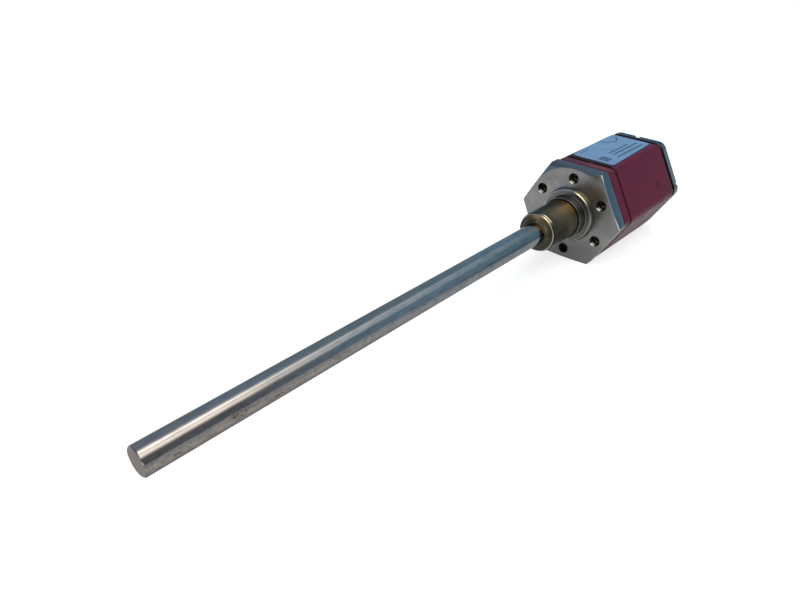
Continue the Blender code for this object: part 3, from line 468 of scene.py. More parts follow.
def edge_highlights(f, colour, x, radius, angle):
    """The colour with painted highlight lines on the collar and the boss's rim, brightest at their upper
    right.
    """
    left = f.span(f.math("ABSOLUTE", angle), 130.0, 160.0)
    collar_line = f.mix(f.span(angle, 78.0, 96.0), (0.27, 0.26, 0.225), (0.50, 0.56, 0.63))
    rim_line = f.mix(left, (0.40, 0.38, 0.34), (0.09, 0.10, 0.11))
    lines = (                       # place, radius, plain colour, where it turns golden, strength
        (COLLAR_H, COLLAR_TOP_R, collar_line, f.near(angle, 58.0, 12.0, 13.0), 0.95),
        (BOSS_END, BOSS_R - BOSS_CHAMFER_R, rim_line, f.near(angle, 54.0, 10.0, 22.0), 0.95),
        (BOSS_END - BOSS_CHAMFER_L, BOSS_R, (0.12, 0.12, 0.11), f.near(angle, 62.0, 10.0, 14.0),
         f.near(angle, 62.0, 14.0, 18.0)),
    )
    highlit = 0.0
    for x_at, radius_at, plain, golden, strength in lines:
        on_line = f.both(f.near(x, x_at / MM, *HIGHLIGHT_WIDTH), f.near(radius, radius_at / MM, *HIGHLIGHT_WIDTH),
                         strength)
        colour = f.mix(on_line, colour, f.mix(golden, plain, (0.95, 0.82, 0.56)))
        highlit = f.math("MAXIMUM", highlit, on_line)
    return colour, highlit


def flange_steel():
    """Turned stainless: grey plate, dark collar face and step, boss with painted warm glow and shade, weld
    bead, painted edge highlights.
    """
    f = Finish("flange_steel")
    place, x, y, z = f.place()
    angle, radius = around(f, y, z)
    rings = f.noise(f.vector(f.math("MULTIPLY", radius, 14.0), 0.0, 0.0), 1.0, 3.0, 0.6)
    feed = f.noise(f.vector(f.math("MULTIPLY", x, 7.0), 0.0, 0.0), 1.0, 4.0, 0.7)
    clouds = f.noise(place, 0.16, 5.0, 0.6)
    grain = f.noise(place, 2.4, 4.0, 0.7)
    specks = f.noise(place, 0.9, 4.0, 0.6)
    tone = f.math("ADD", f.math("MULTIPLY", feed, 0.6), f.math("MULTIPLY", clouds, 0.4))

    collar_side = f.ramp(clouds, [(0.3, (0.135, 0.125, 0.097)), (0.7, (0.205, 0.185, 0.140))])
    # Painted bluish reflection on the collar side's upper left
    collar_side = f.mix(f.near(angle, 146.0, 36.0, 34.0), collar_side, (0.310, 0.350, 0.420))
    collar_face = f.ramp(tone, [(0.35, (0.068, 0.070, 0.068)), (0.65, (0.122, 0.120, 0.112))])
    step = f.mix(1.0, collar_face, (1.40, 1.38, 1.32), "MULTIPLY")
    in_front = f.span(x, 0.03, 0.10)
    colour = f.mix(in_front, plate_colour(f, x, y, z, angle, radius, clouds, grain), collar_side)
    colour = f.mix(f.both(f.span(radius, *ON_COLLAR_FACE), in_front), colour, collar_face)
    colour = f.mix(f.both(f.span(radius, *ON_STEP), in_front), colour, step)
    colour = f.mix(f.both(f.span(radius, *ON_BOSS), in_front), colour, boss_colour(f, x, angle, tone))
    # Painted shade in the corner where the boss leaves the step
    undercut_shade = f.both(f.near(x, UNDERCUT_SHADE_X, 0.2, 0.25), f.span(radius, 10.0, 9.8))
    colour = f.mix(undercut_shade, colour, (0.006, 0.006, 0.006))
    # Painted highlight lines on the collar and the boss's rim
    colour, highlit = edge_highlights(f, colour, x, radius, angle)

    bead_x = BOSS_END / MM
    bead = f.both(f.span(x, bead_x + 0.05, bead_x + 0.2), f.span(radius, *ON_BEAD))
    bead_colour = f.ramp(specks, [(0.36, (0.034, 0.033, 0.027)), (0.50, (0.058, 0.052, 0.038)),
                                  (0.60, (0.100, 0.082, 0.050)), (0.68, (0.095, 0.055, 0.034))])
    colour = f.mix(bead, colour, bead_colour)
    rough = f.span(grain, 0.3, 0.7, 0.30, 0.40)
    # Smoother along the painted highlight lines
    rough = f.math("SUBTRACT", rough, f.math("MULTIPLY", highlit, 0.12))
    ripple = f.math("MULTIPLY", f.math("SINE", f.math("MULTIPLY", angle, 0.62)), bead)
    normal = f.bump(rings, 0.004 * MM, 0.5)
    normal = f.bump(feed, 0.006 * MM, 0.5, normal)
    normal = f.bump(ripple, 0.09 * MM, 0.8, normal)
    return f.finish(Base_Color=colour, Metallic=1.0, Roughness=rough, Normal=normal,
                    Specular_Tint=FLANGE_GRAZING_TINT)


def pocket_steel():
    """Drilled wall, painted dark as shade, but for a painted cream patch of light in the mouth of each hole
    except the lowest.
    """
    f = Finish("pocket_steel")
    place, x, y, z = f.place()
    angle, _ = around(f, y, z)
    sixth = f.math("ROUND", f.math("DIVIDE", f.math("SUBTRACT", angle, FIRST_HOLE), HOLE_STEP))
    turn = f.math("ADD", f.math("MULTIPLY", sixth, math.radians(HOLE_STEP)), math.radians(FIRST_HOLE))
    from_y = f.math("SUBTRACT", y, f.math("MULTIPLY", f.math("COSINE", turn), BOLT_CIRCLE_R / MM))
    from_z = f.math("SUBTRACT", z, f.math("MULTIPLY", f.math("SINE", turn), BOLT_CIRCLE_R / MM))
    in_hole, _ = around(f, from_y, from_z)
    grain = f.noise(f.stretched(place, (3.0, 1.0, 1.0)), 1.6, 3.0, 0.6)
    # Painted shade: the wall is dark
    wall = f.ramp(grain, [(0.3, (0.022, 0.020, 0.017)), (0.7, (0.05, 0.044, 0.034))])
    # Painted light in the mouth of each hole, but not the lowest, which lies in shadow
    lit = f.both(f.near(in_hole, -114.0, 13.0, 15.0), f.span(x, -2.6, -1.7), f.span(z, -15.5, -13.0))
    colour = f.mix(lit, wall, (1.0, 0.97, 0.84))
    return f.finish(Base_Color=colour, Metallic=0.35, Roughness=f.span(grain, 0.3, 0.7, 0.38, 0.50),
                    Normal=f.bump(grain, 0.03 * MM, 0.4))


def smudge(f, x, y, z, peel):
    """1 in the small dark smudge on the housing's right flank, with a ragged edge."""
    from_x = f.math("SUBTRACT", x, SMUDGE_AT[0])
    from_along = f.math("SUBTRACT", along_right_flat(f, y, z), SMUDGE_AT[1])
    _, away = around(f, from_x, from_along)
    ragged = f.math("MULTIPLY", f.math("SUBTRACT", peel, 0.5), 2.0)
    return f.both(f.span(f.math("ADD", away, ragged), 3.6, 0.4), f.span(y, 0.0, 1.0))


def burgundy_enamel():
    """Semi-gloss burgundy coating: faint orange peel, dust, a smudge, painted shade on the lip and by the
    groove, and painted reflections.
    """
    f = Finish("burgundy_enamel")
    place, x, y, z = f.place()
    angle, _ = around(f, y, z)
    peel = f.noise(place, 1.1, 2.0, 0.5)
    clouds = f.noise(place, 0.09, 4.0, 0.6)
    dust = f.span(f.noise(place, 4.5, 2.0, 0.6), 0.66, 0.76, 0.0, 0.25)
    colour = f.ramp(clouds, [(0.3, (0.076, 0.008, 0.025)), (0.7, (0.102, 0.009, 0.027))])
    colour = f.mix(f.math("MULTIPLY", smudge(f, x, y, z, peel), 0.75), colour, (0.060, 0.003, 0.008))
    colour = f.mix(dust, colour, (0.17, 0.06, 0.08))
    # Painted shade on the lip's top
    lip_top_shade = f.both(f.span(z, 20.8, 22.0, 0.0, 0.35), f.span(x, -14.0, -12.8))
    colour = f.mix(lip_top_shade, colour, (0.035, 0.028, 0.022))
    # Painted shadow on the housing's top between the label and the groove
    groove_shadow = f.both(f.near(x, -14.7, 2.3, 0.4), f.span(z, 21.2, 22.2), f.span(y, 12.2, 10.4))
    colour = f.mix(groove_shadow, colour, (0.018, 0.006, 0.006))
    # Painted warm reflection on the lip's top
    warm_reflection = f.both(f.near(x, -10.6, 0.2, 3.0), f.near(y, 6.5, 1.0, 10.0),
                        f.span(z, 21.5, 22.5, 0.0, 0.42))
    colour = f.mix(warm_reflection, colour, (0.205, 0.058, 0.044))
    # Painted purplish reflection on the lower flank
    lower_flank_reflection = f.both(f.span(angle, 4.0, -5.0, 0.0, 0.8), f.span(angle, -76.0, -66.0))
    colour = f.mix(lower_flank_reflection, colour, (0.050, 0.009, 0.027))
    rough = f.span(clouds, 0.3, 0.7, 0.40, 0.50)
    return f.finish(Base_Color=colour, Roughness=rough, Normal=f.bump(peel, 0.02 * MM, 0.35),
                    Specular_IOR_Level=0.07)


def satin_metal(name, low, high, rough_low, rough_high):
    """Plain satin metal with cloudy colour and a fine grain."""
    f = Finish(name)
    place = f.place()[0]
    clouds = f.noise(place, 0.35, 4.0, 0.6)
    grain = f.noise(place, 5.0, 3.0, 0.6)
    colour = f.ramp(clouds, [(0.3, low), (0.7, high)])
    rough = f.span(grain, 0.3, 0.7, rough_low, rough_high)
    return f.finish(Base_Color=colour, Metallic=1.0, Roughness=rough, Normal=f.bump(grain, 0.008 * MM, 0.3))


def cover_metal():
    """Rear cover: satin grey, darker at two corners and the top flat, with painted shade at the front edge;
    brushed rear face.
    """
    f = Finish("cover_grey")
    place, x, y, z = f.place()
    angle, _ = around(f, y, z)
    clouds = f.noise(place, 0.35, 4.0, 0.6)
    grain = f.noise(place, 5.0, 3.0, 0.6)
    strokes = f.noise(f.stretched(place, (1.0, 0.35, 7.0)), 1.0, 4.0, 0.65)
    colour = f.ramp(clouds, [(0.3, (0.255, 0.215, 0.195)), (0.7, (0.325, 0.275, 0.250))])
    colour = f.mix(f.near(angle, 0.0, 5.0, 7.0), colour, (0.085, 0.085, 0.088))
    colour = f.mix(f.near(angle, 60.0, 3.0, 6.0), colour, (0.150, 0.168, 0.150))
    top_flat = f.both(f.span(z, 20.6, 21.6), f.span(y, 13.4, 12.2))
    colour = f.mix(top_flat, colour, (0.026, 0.023, 0.022))
    rear_face = f.ramp(strokes, [(0.3, (0.150, 0.155, 0.160)), (0.7, (0.215, 0.220, 0.225))])
    colour = f.mix(f.span(x, *COVER_REAR_FACE), colour, rear_face)
    # Painted shade at the front edge, in the gap by the gasket
    colour = f.mix(f.span(x, *COVER_FRONT_SHADE), colour, (0.035, 0.033, 0.036))
    rough = f.span(grain, 0.3, 0.7, 0.28, 0.38)
    return f.finish(Base_Color=colour, Metallic=1.0, Roughness=rough, Normal=f.bump(grain, 0.008 * MM, 0.3))


def dull(name, low, high, rough, grain_scale=3.0):
    """Rubber, plastic or ceramic: dull, with cloudy colour and a fine grain."""
    f = Finish(name)
    place = f.place()[0]
    clouds = f.noise(place, 0.4, 4.0, 0.6)
    grain = f.noise(place, grain_scale, 3.0, 0.6)
    colour = f.ramp(clouds, [(0.3, low), (0.7, high)])
    roughness = f.span(grain, 0.3, 0.7, rough - 0.06, rough + 0.06)
    return f.finish(Base_Color=colour, Roughness=roughness, Normal=f.bump(grain, 0.02 * MM, 0.4))


def label_foil():
    """Pale blue satin film with a fine grain, slight wrinkles and a painted shadow line along its right edge.
    """
    f = Finish("label_foil")
    place, x, y, _ = f.place()
    clouds = f.noise(place, 0.12, 4.0, 0.6)
    grain = f.noise(place, 6.0, 2.0, 0.5)
    colour = f.ramp(clouds, [(0.3, (0.118, 0.205, 0.335)), (0.7, (0.152, 0.250, 0.385))])
    colour = f.mix(f.span(grain, 0.55, 0.7, 0.0, 0.2), colour, (0.26, 0.31, 0.42))
    lean = (LABEL_RIGHT_FRONT - LABEL_RIGHT_BACK) / (LABEL_FRONT - LABEL_BACK)
    edge_y = f.math("ADD", f.math("MULTIPLY", x, lean), (LABEL_RIGHT_FRONT - LABEL_FRONT * lean) / MM)
    from_edge = f.math("SUBTRACT", edge_y, y)
    # Painted shadow line along the right edge
    colour = f.mix(f.span(from_edge, *LABEL_EDGE_SHADOW), colour, (0.030, 0.040, 0.10))
    rough = f.span(grain, 0.3, 0.7, 0.36, 0.46)
    normal = f.bump(f.noise(place, 0.22, 2.0, 0.4), 0.12 * MM, 0.25)
    return f.finish(Base_Color=colour, Roughness=rough, Normal=normal, Metallic=0.15)


def board_lacquer():
    """Green board with faint tracks under the lacquer."""
    f = Finish("board_lacquer")
    place, x, y, _ = f.place()
    tracks = f.add("TexBrick", offset=0.35)
    f.feed(tracks.inputs["Vector"], f.vector(x, y, 0.0))
    f.feed(tracks.inputs["Scale"], 0.6)
    f.feed(tracks.inputs["Mortar Size"], 0.06)
    colour = f.mix(tracks.outputs["Fac"], (0.015, 0.10, 0.045), (0.04, 0.21, 0.09))
    grain = f.noise(place, 3.0, 2.0, 0.5)
    return f.finish(Base_Color=colour, Roughness=f.span(grain, 0.3, 0.7, 0.32, 0.42))


def wound_copper():
    """Fine enamelled wire laid side by side."""
    f = Finish("wound_copper")
    place, x, _, _ = f.place()
    turns = f.math("SINE", f.math("MULTIPLY", x, 60.0))
    colour = f.ramp(f.noise(place, 1.5, 3.0), [(0.3, (0.42, 0.15, 0.06)), (0.7, (0.60, 0.25, 0.11))])
    return f.finish(Base_Color=colour, Metallic=1.0, Roughness=0.34, Normal=f.bump(turns, 0.05 * MM, 0.6))


# Fine edges of the turned and milled pieces
TIP_ROUNDING = 0.2 * MM
TIP_GROUND = 0.3 * MM               # flat stretch kept inside the tip's broken edge
TURNED_ROUNDING = 0.22 * MM
PLATE_STEPS = 180                   # stations round the hexagon plate
PLATE_REAR_FLATS = 0.8 * MM         # how much narrower the rear face is across flats
PLATE_REAR_DEPTH = 0.4 * MM
PLATE_BREAK = 0.18 * MM
HOLE_LIP = 0.15 * MM
PAST_FACE = 1.0 * MM                # how far a cutter stands past the faces that it cuts
HOLE_SEGMENTS = 48


def cut_from(piece, cutter):
    """Add the cutter to the piece as an exact cut, which carried_out then makes."""
    cut = piece.modifiers.new(cutter.name, "BOOLEAN")
    cut.operation = "DIFFERENCE"
    cut.solver = "EXACT"
    cut.object = cutter
    return cut


def make_rod(material):
    """The rod with a finely rounded, ground tip."""
    inner = TUBE_R - TUBE_WALL
    outside = [(TUBE_BACK, TUBE_R), (TUBE_TIP - TUBE_TIP_BREAK, TUBE_R), (TUBE_TIP, TUBE_R - TUBE_TIP_BREAK),
               (TUBE_TIP, TUBE_R - TUBE_TIP_BREAK - TIP_GROUND), (TUBE_TIP, 0.0)]
    profile = [Vector((TUBE_BLIND, 0.0)), Vector((TUBE_BLIND, inner)), Vector((TUBE_BACK, inner))]
    profile += rounded(outside, TIP_ROUNDING)
    return shown("rod", turned(profile, FINE), material)


def make_flange_body(material):
    """The flange's turned body: spigot with its groove, collar, step and boss, with small edge radii."""
    groove_x = (-FLANGE_T - SEAT_GAP + SPIGOT_BACK) / 2
    outline = [
        (SPIGOT_BACK, BORE_R), (SPIGOT_BACK, SPIGOT_R), (groove_x - GROOVE_HALF, SPIGOT_R),
        (groove_x - GROOVE_HALF, GROOVE_FLOOR_R), (groove_x + GROOVE_HALF, GROOVE_FLOOR_R),
        (groove_x + GROOVE_HALF, SPIGOT_R), (-FLANGE_T / 2, SPIGOT_R), (-FLANGE_T / 2, COLLAR_R),
        (COLLAR_SIDE, COLLAR_R), (COLLAR_H, COLLAR_TOP_R), (COLLAR_H, STEP_R), (STEP_END, STEP_R),
        (STEP_END, BOSS_R), (BOSS_END - BOSS_CHAMFER_L, BOSS_R), (BOSS_END, BOSS_R - BOSS_CHAMFER_R),
        (BOSS_END, BEAD_R), (BOSS_END + BEAD_BULGE[0], BORE_R + BEAD_BULGE[1]),
        (BOSS_END + BEAD_L, BORE_R + BEAD_LIP), (BOSS_END + BEAD_L, BORE_R),
    ]
    return shown("flange_body", turned(rounded(outline, TURNED_ROUNDING), FINE), material, 50.0)


def hexagon_reach(degrees, across_flats):
    """Distance from the axis to the hexagon's edge at this angle; its flats face 30, 90 and so on."""
    from_flat = (degrees % 60.0) - 30.0
    return across_flats / 2 / math.cos(math.radians(from_flat))


def make_flange_plate(material, hole_material):
    """The hexagon plate with its coned corners, broken edges and the six stepped holes."""
    inner = COLLAR_TOP_R
    bm = bmesh.new()
    rings = []
    for k in range(PLATE_STEPS):
        degrees = 360.0 * k / PLATE_STEPS
        edge = hexagon_reach(degrees, FLANGE_AF)
        rear = hexagon_reach(degrees, FLANGE_AF - PLATE_REAR_FLATS)
        front_x = -(edge - CORNER_START_R) * CORNER_SLOPE
        stations = [(0.0, inner), (0.0, CORNER_START_R), (front_x, edge),
                    (-FLANGE_T + PLATE_REAR_DEPTH, edge), (-FLANGE_T, rear), (-FLANGE_T, inner)]
        rings.append([bm.verts.new((x, *polar(radius, degrees))) for x, radius in stations])
    for near, far in zip(rings, rings[1:] + rings[:1]):
        for i in range(len(near)):
            j = (i + 1) % len(near)
            bm.faces.new((near[i], near[j], far[j], far[i]))
    bmesh.ops.dissolve_limit(bm, angle_limit=math.radians(0.2), verts=bm.verts, edges=bm.edges)
    bmesh.ops.recalc_face_normals(bm, faces=bm.faces)
    plate = shown("flange_plate", bm, material, 20.0)
    break_edges = plate.modifiers.new("edges", "BEVEL")
    break_edges.width = PLATE_BREAK
    break_edges.segments = 2
    break_edges.limit_method = "ANGLE"
    break_edges.angle_limit = math.radians(20.0)
    mouth_r = POCKET_R + HOLE_LIP
    behind = -FLANGE_T - PAST_FACE
    pocket = [(PAST_FACE, 0.0), (PAST_FACE, mouth_r + PAST_FACE), (0.0, mouth_r), (-HOLE_LIP, POCKET_R),
              (-POCKET_DEPTH, POCKET_R), (-POCKET_DEPTH, SCREW_HOLE_R), (behind, SCREW_HOLE_R), (behind, 0.0)]
    for k in range(6):
        drill = turned(pocket, HOLE_SEGMENTS, polar(BOLT_CIRCLE_R, FIRST_HOLE + HOLE_STEP * k))
        cutter = shown(f"hole_cutter_{k + 1}", drill, hole_material)
        cut_from(plate, cutter).material_mode = "TRANSFER"
    return carried_out(plate, 30.0)


def carried_out(obj, sharp):
    """The object with its modifiers carried out and their helpers removed."""
    helpers = [step.object for step in obj.modifiers if step.type == "BOOLEAN"]
    mesh = bpy.data.meshes.new_from_object(obj.evaluated_get(bpy.context.evaluated_depsgraph_get()))
    obj.modifiers.clear()
    obj.data = mesh
    for helper in helpers:
        bpy.data.objects.remove(helper, do_unlink=True)
    mesh.shade_smooth()
    mesh.set_sharp_from_angle(angle=math.radians(sharp))
    return obj


# Label
LABEL_FRONT = -16.9 * MM
LABEL_BACK = -59.6 * MM
LABEL_RIGHT_FRONT = 10.9 * MM
LABEL_RIGHT_BACK = 9.3 * MM
LABEL_LEFT_FRONT = -11.3 * MM
LABEL_LEFT_BACK = -13.4 * MM        # measured round the corner of the flat
LABEL_T = 0.12 * MM
LABEL_LIFT = 0.02 * MM
LABEL_CORNER_R = 2.0 * MM
LABEL_COLUMNS = 16
LABEL_ROWS = 10
LABEL_CORNER_STEPS = 5
PRINT_T = 0.02 * MM
PRINT_LIFT = 0.002 * MM
SQUARE_CELLS = 7
SQUARE_AT = (-19.7 * MM, 0.8 * MM)
SQUARE_CELL = 0.73 * MM
ARC_AT = (-50.6 * MM, -12.4 * MM)
ARC_R = 6.2 * MM
ARC_W = 0.72 * MM
ARC_SPAN = (6.0, 168.0)             # degrees, from the label's front towards its right
ARC_STEPS = 32
PRINT_ROWS = (                      # y, start, end, dash and height in mm
    (0.9, -31.4, -50.9, 2.6, 1.0), (3.4, -30.6, -55.9, 3.4, 1.15), (6.5, -29.4, -55.4, 2.9, 1.15),
)
DASH_SHARES = (0.6, 1.3, 0.95)      # the dashes' lengths in turn
DASH_GAP = 0.45                     # mm
SHORT_LINES = ((-20.6, -23.4), (-24.0, -29.8))  # x of their ends, in mm
SHORT_LINES_Y = (-9.75, -9.2)


def on_label_flat(x, across, lift):
    """A point over the top flat, this far across it; past the flat's left end it follows the corner."""
    half = (HEAD_AF - 2 * HEAD_CORNER_R) / math.sqrt(3) / 2
    if across >= -half:
        return x, across, HEAD_AF / 2 + lift
    turn = 90.0 + math.degrees((-half - across) / HEAD_CORNER_R)
    y, z = polar(HEAD_CORNER_R + lift, turn)
    return x, y - half, z + HEAD_AF / 2 - HEAD_CORNER_R


def label_stations():
    """Places along the label with how far its sides come in there, so that its corners are round."""
    arc = [90.0 * step / LABEL_CORNER_STEPS for step in range(LABEL_CORNER_STEPS + 1)]
    rounds = [polar(LABEL_CORNER_R, angle) for angle in reversed(arc)]
    ends = [(LABEL_CORNER_R - across, LABEL_CORNER_R - along) for along, across in rounds]
    front = [(LABEL_FRONT - along, inset) for along, inset in ends]
    middle = [(LABEL_FRONT + (LABEL_BACK - LABEL_FRONT) * step / LABEL_ROWS, 0.0)
              for step in range(1, LABEL_ROWS)]
    back = [(LABEL_BACK + along, inset) for along, inset in reversed(ends)]
    return front + middle + back


def make_label(material):
    """A thin film on the top flat with round corners; its left edge runs a little round the flat's corner."""
    columns = LABEL_COLUMNS
    bm = bmesh.new()
    rows = []
    for x, inset in label_stations():
        share = (x - LABEL_FRONT) / (LABEL_BACK - LABEL_FRONT)
        left = LABEL_LEFT_FRONT + (LABEL_LEFT_BACK - LABEL_LEFT_FRONT) * share + inset
        right = LABEL_RIGHT_FRONT + (LABEL_RIGHT_BACK - LABEL_RIGHT_FRONT) * share - inset
        row = []
        for column in range(columns + 1):
            across = left + (right - left) * column / columns
            lifts = (LABEL_LIFT, LABEL_LIFT + LABEL_T)
            row.append([bm.verts.new(on_label_flat(x, across, lift)) for lift in lifts])
        rows.append(row)
    for near, far in zip(rows, rows[1:]):
        for i in range(columns):
            bm.faces.new((near[i][1], near[i + 1][1], far[i + 1][1], far[i][1]))
            bm.faces.new((near[i][0], far[i][0], far[i + 1][0], near[i + 1][0]))
        for i in (0, columns):
            bm.faces.new((near[i][0], near[i][1], far[i][1], far[i][0]))
    for row in (rows[0], rows[-1]):
        for i in range(columns):
            bm.faces.new((row[i][0], row[i + 1][0], row[i + 1][1], row[i][1]))
    bmesh.ops.recalc_face_normals(bm, faces=bm.faces)
    return shown("label", bm, material)


def bar(bm, x0, x1, y0, y1):
    """A thin printed bar on the label."""
    low = HEAD_AF / 2 + LABEL_LIFT + LABEL_T + PRINT_LIFT
    block(bm, (abs(x1 - x0), abs(y1 - y0), PRINT_T), ((x0 + x1) / 2, (y0 + y1) / 2, low + PRINT_T / 2))


def printed_arc(bm):
    """A thin printed arc that comes out from the label's left edge and runs back into it."""
    low = LABEL_LIFT + LABEL_T + PRINT_LIFT
    outer = ARC_R + ARC_W
    section = ((ARC_R, low), (outer, low), (outer, low + PRINT_T), (ARC_R, low + PRINT_T))
    rows = []
    for step in range(ARC_STEPS + 1):
        dx, dy = polar(1.0, ARC_SPAN[0] + (ARC_SPAN[1] - ARC_SPAN[0]) * step / ARC_STEPS)
        rows.append([bm.verts.new(on_label_flat(ARC_AT[0] + r * dx, ARC_AT[1] + r * dy, lift))
                     for r, lift in section])
    for near, far in zip(rows, rows[1:]):
        for i in range(4):
            bm.faces.new((near[i], near[(i + 1) % 4], far[(i + 1) % 4], far[i]))
    for row in (rows[0], rows[-1]):
        bm.faces.new(row)


def make_label_print(material):
    """Generic marks: a square of cells, rows of dashes, an arc and two short lines."""
    bm = bmesh.new()
    for row in range(SQUARE_CELLS):
        for column in range(SQUARE_CELLS):
            on_edge = row in (0, SQUARE_CELLS - 1) or column in (0, SQUARE_CELLS - 1)
            if on_edge or (row + 2 * column) % 5 > 0:
                x = SQUARE_AT[0] - SQUARE_CELL * row
                y = SQUARE_AT[1] + SQUARE_CELL * column
                bar(bm, x, x - SQUARE_CELL, y, y + SQUARE_CELL)
    for y, start, end, dash, height in PRINT_ROWS:
        x, count = start, 0
        while x > end:
            length = dash * DASH_SHARES[count % 3]
            bar(bm, x * MM, max(x - length, end) * MM, (y - height / 2) * MM, (y + height / 2) * MM)
            x -= length + DASH_GAP
            count += 1
    for start, end in SHORT_LINES:
        bar(bm, start * MM, end * MM, SHORT_LINES_Y[0] * MM, SHORT_LINES_Y[1] * MM)
    printed_arc(bm)
    bmesh.ops.recalc_face_normals(bm, faces=bm.faces)
    return shown("label_print", bm, material)


# A small bridge over the groove between lip and housing
TAB_X = (-14.5 * MM, -12.3 * MM)
TAB_Y = (-0.1 * MM, 2.0 * MM)
TAB_Z = (21.4 * MM, 22.75 * MM)
TAB_ROUNDING = 0.2 * MM


def make_groove_tab(material):
    """The bridge over the groove, with rounded edges."""
    bm = bmesh.new()
    spans = (TAB_X, TAB_Y, TAB_Z)
    block(bm, [high - low for low, high in spans], [(low + high) / 2 for low, high in spans])
    bmesh.ops.bevel(bm, geom=bm.edges[:], offset=TAB_ROUNDING, segments=2, affect="EDGES")
    return shown("groove_tab", bm, material)


# Connector shell
SHELL_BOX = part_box("connector_shell")
SHELL_BORE_R = 6.3 * MM
SHELL_STUB_R = 7.3 * MM
SHELL_R = 8.0 * MM
SHELL_FLANGE_R = 10.0 * MM
SHELL_FLANGE_T = 2.2 * MM
SHELL_L = 9.5 * MM
THREAD_PITCH = 1.0 * MM
THREAD_DEPTH = 0.45 * MM
THREAD_START = 1.2 * MM             # plain stretch in front of the thread
THREAD_STEPS = 8                    # stations along one turn
SEAT_CHAMFER = 0.3 * MM
SHELL_FLANGE_CHAMFER = 0.4 * MM
MOUTH_CHAMFER = 0.5 * MM
BORE_CHAMFER = 0.2 * MM
SHELL_SEGMENTS = 96
KEY_SIZE = (8.0 * MM, 1.6 * MM, 7.1 * MM)
KEY_AT = 2.5 * MM                   # its middle, from the shell's mouth


def thread_depth(x, degrees, start, end):
    """Depth of the outer thread at this place along the shell and round it."""
    if not start < x < end:
        return 0.0
    wave = (x / THREAD_PITCH + degrees / 360.0) % 1.0
    fade = min(1.0, (x - start) / THREAD_PITCH, (end - x) / THREAD_PITCH)
    return THREAD_DEPTH * fade * abs(2.0 * wave - 1.0)


def make_connector_shell(material):
    """The shell with its fine outer thread and the keyway in its mouth."""
    mouth = SHELL_BOX[0].x - DATUM.x
    inner_end = SHELL_BOX[1].x - DATUM.x
    flange_back = mouth + SHELL_L
    seat = flange_back + SHELL_FLANGE_T
    outline = [(inner_end, SHELL_BORE_R), (inner_end, SHELL_STUB_R), (seat, SHELL_STUB_R),
               (seat, SHELL_FLANGE_R - SEAT_CHAMFER), (seat - SEAT_CHAMFER, SHELL_FLANGE_R),
               (flange_back + SHELL_FLANGE_CHAMFER, SHELL_FLANGE_R),
               (flange_back, SHELL_FLANGE_R - SHELL_FLANGE_CHAMFER)]
    thread_end = flange_back - THREAD_START
    thread_l = thread_end - mouth - MOUTH_CHAMFER
    stations = int((thread_end - mouth) / THREAD_PITCH * THREAD_STEPS)
    outline += [(flange_back, SHELL_R)]
    outline += [(thread_end - thread_l * k / stations, SHELL_R) for k in range(stations + 1)]
    outline += [(mouth, SHELL_R - MOUTH_CHAMFER), (mouth, SHELL_BORE_R + BORE_CHAMFER)]
    outline += [(mouth + BORE_CHAMFER, SHELL_BORE_R)]
    bm = turned(outline, SHELL_SEGMENTS)
    for vert in bm.verts:
        x, y, z = vert.co
        radius = math.hypot(y, z)
        if abs(radius - SHELL_R) < 1e-6:
            degrees = math.degrees(math.atan2(z, y))
            smaller = 1.0 - thread_depth(x, degrees, mouth, thread_end) / radius
            vert.co = (x, y * smaller, z * smaller)
    shell = shown("connector_shell_threaded", bm, material, 40.0)
    key = bmesh.new()
    block(key, KEY_SIZE, (mouth + KEY_AT, 0.0, KEY_SIZE[2] / 2))
    cut_from(shell, shown("keyway_cutter", key, material))
    return carried_out(shell, 40.0)


def dress_nodes(finishes):
    """Give each CAD node the finish of its material slot."""
    for entry in frame["record"]["subparts"]:
        node = frame["nodes"][entry["node"]]
        material = finishes[entry["material_slot"]]
        node.data.materials.clear()
        node.data.materials.append(material)


# Camera, fitted to the photograph; its place is counted from the datum
CAMERA_PLACE = Vector((273.43, 140.49, 133.30)) * MM
CAMERA_RIGHT = Vector((-0.6796, 0.7335, 0.0095))
CAMERA_AIM = Vector((-0.6274, -0.5745, -0.5256))
CAMERA_LENS = 29.93                 # in mm, on a sensor this wide
CAMERA_SENSOR = 36.0


def make_camera():
    """The camera at the photograph's place, made the scene's own."""
    forward = CAMERA_AIM.normalized()
    up = CAMERA_RIGHT.cross(forward).normalized()
    right = forward.cross(up)
    data = bpy.data.cameras.new("camera")
    data.lens = CAMERA_LENS
    data.sensor_width = CAMERA_SENSOR
    data.clip_start = 0.005
    data.clip_end = 50.0
    camera = bpy.data.objects.new("camera", data)
    turn = Matrix((right, up, -forward)).transposed()
    camera.matrix_world = Matrix.Translation(DATUM + CAMERA_PLACE) @ turn.to_4x4()
    bpy.context.scene.collection.objects.link(camera)
    bpy.context.scene.camera = camera


# The room as a sky: colours on the sensor's left and right by the direction's x, and a window overhead
ROOM_LEFT = [(0.05, (0.28, 0.55, 0.85)), (0.15, (0.29, 0.54, 0.78)), (0.20, (0.28, 0.47, 0.60)),
             (0.35, (0.35, 0.50, 0.70)), (0.50, (0.37, 0.48, 0.62)), (1.00, (0.28, 0.31, 0.34))]
ROOM_RIGHT = [(0.05, (0.17, 0.40, 0.58)), (0.12, (0.20, 0.44, 0.64)), (0.19, (0.32, 0.54, 0.77)),
              (0.25, (0.25, 0.47, 0.66)), (0.29, (0.29, 0.40, 0.52)), (0.36, (0.23, 0.26, 0.31)),
              (1.00, (0.19, 0.19, 0.19))]
WINDOW_ACROSS = [(0.24, 0.0), (0.28, 0.25), (0.32, 0.58), (0.37, 0.72), (0.395, 0.68), (0.408, 0.30),
                 (0.424, 0.30), (0.436, 0.78), (0.47, 1.0), (0.50, 0.92), (0.53, 0.40), (0.56, 0.13),
                 (0.60, 0.03), (0.65, 0.0)]
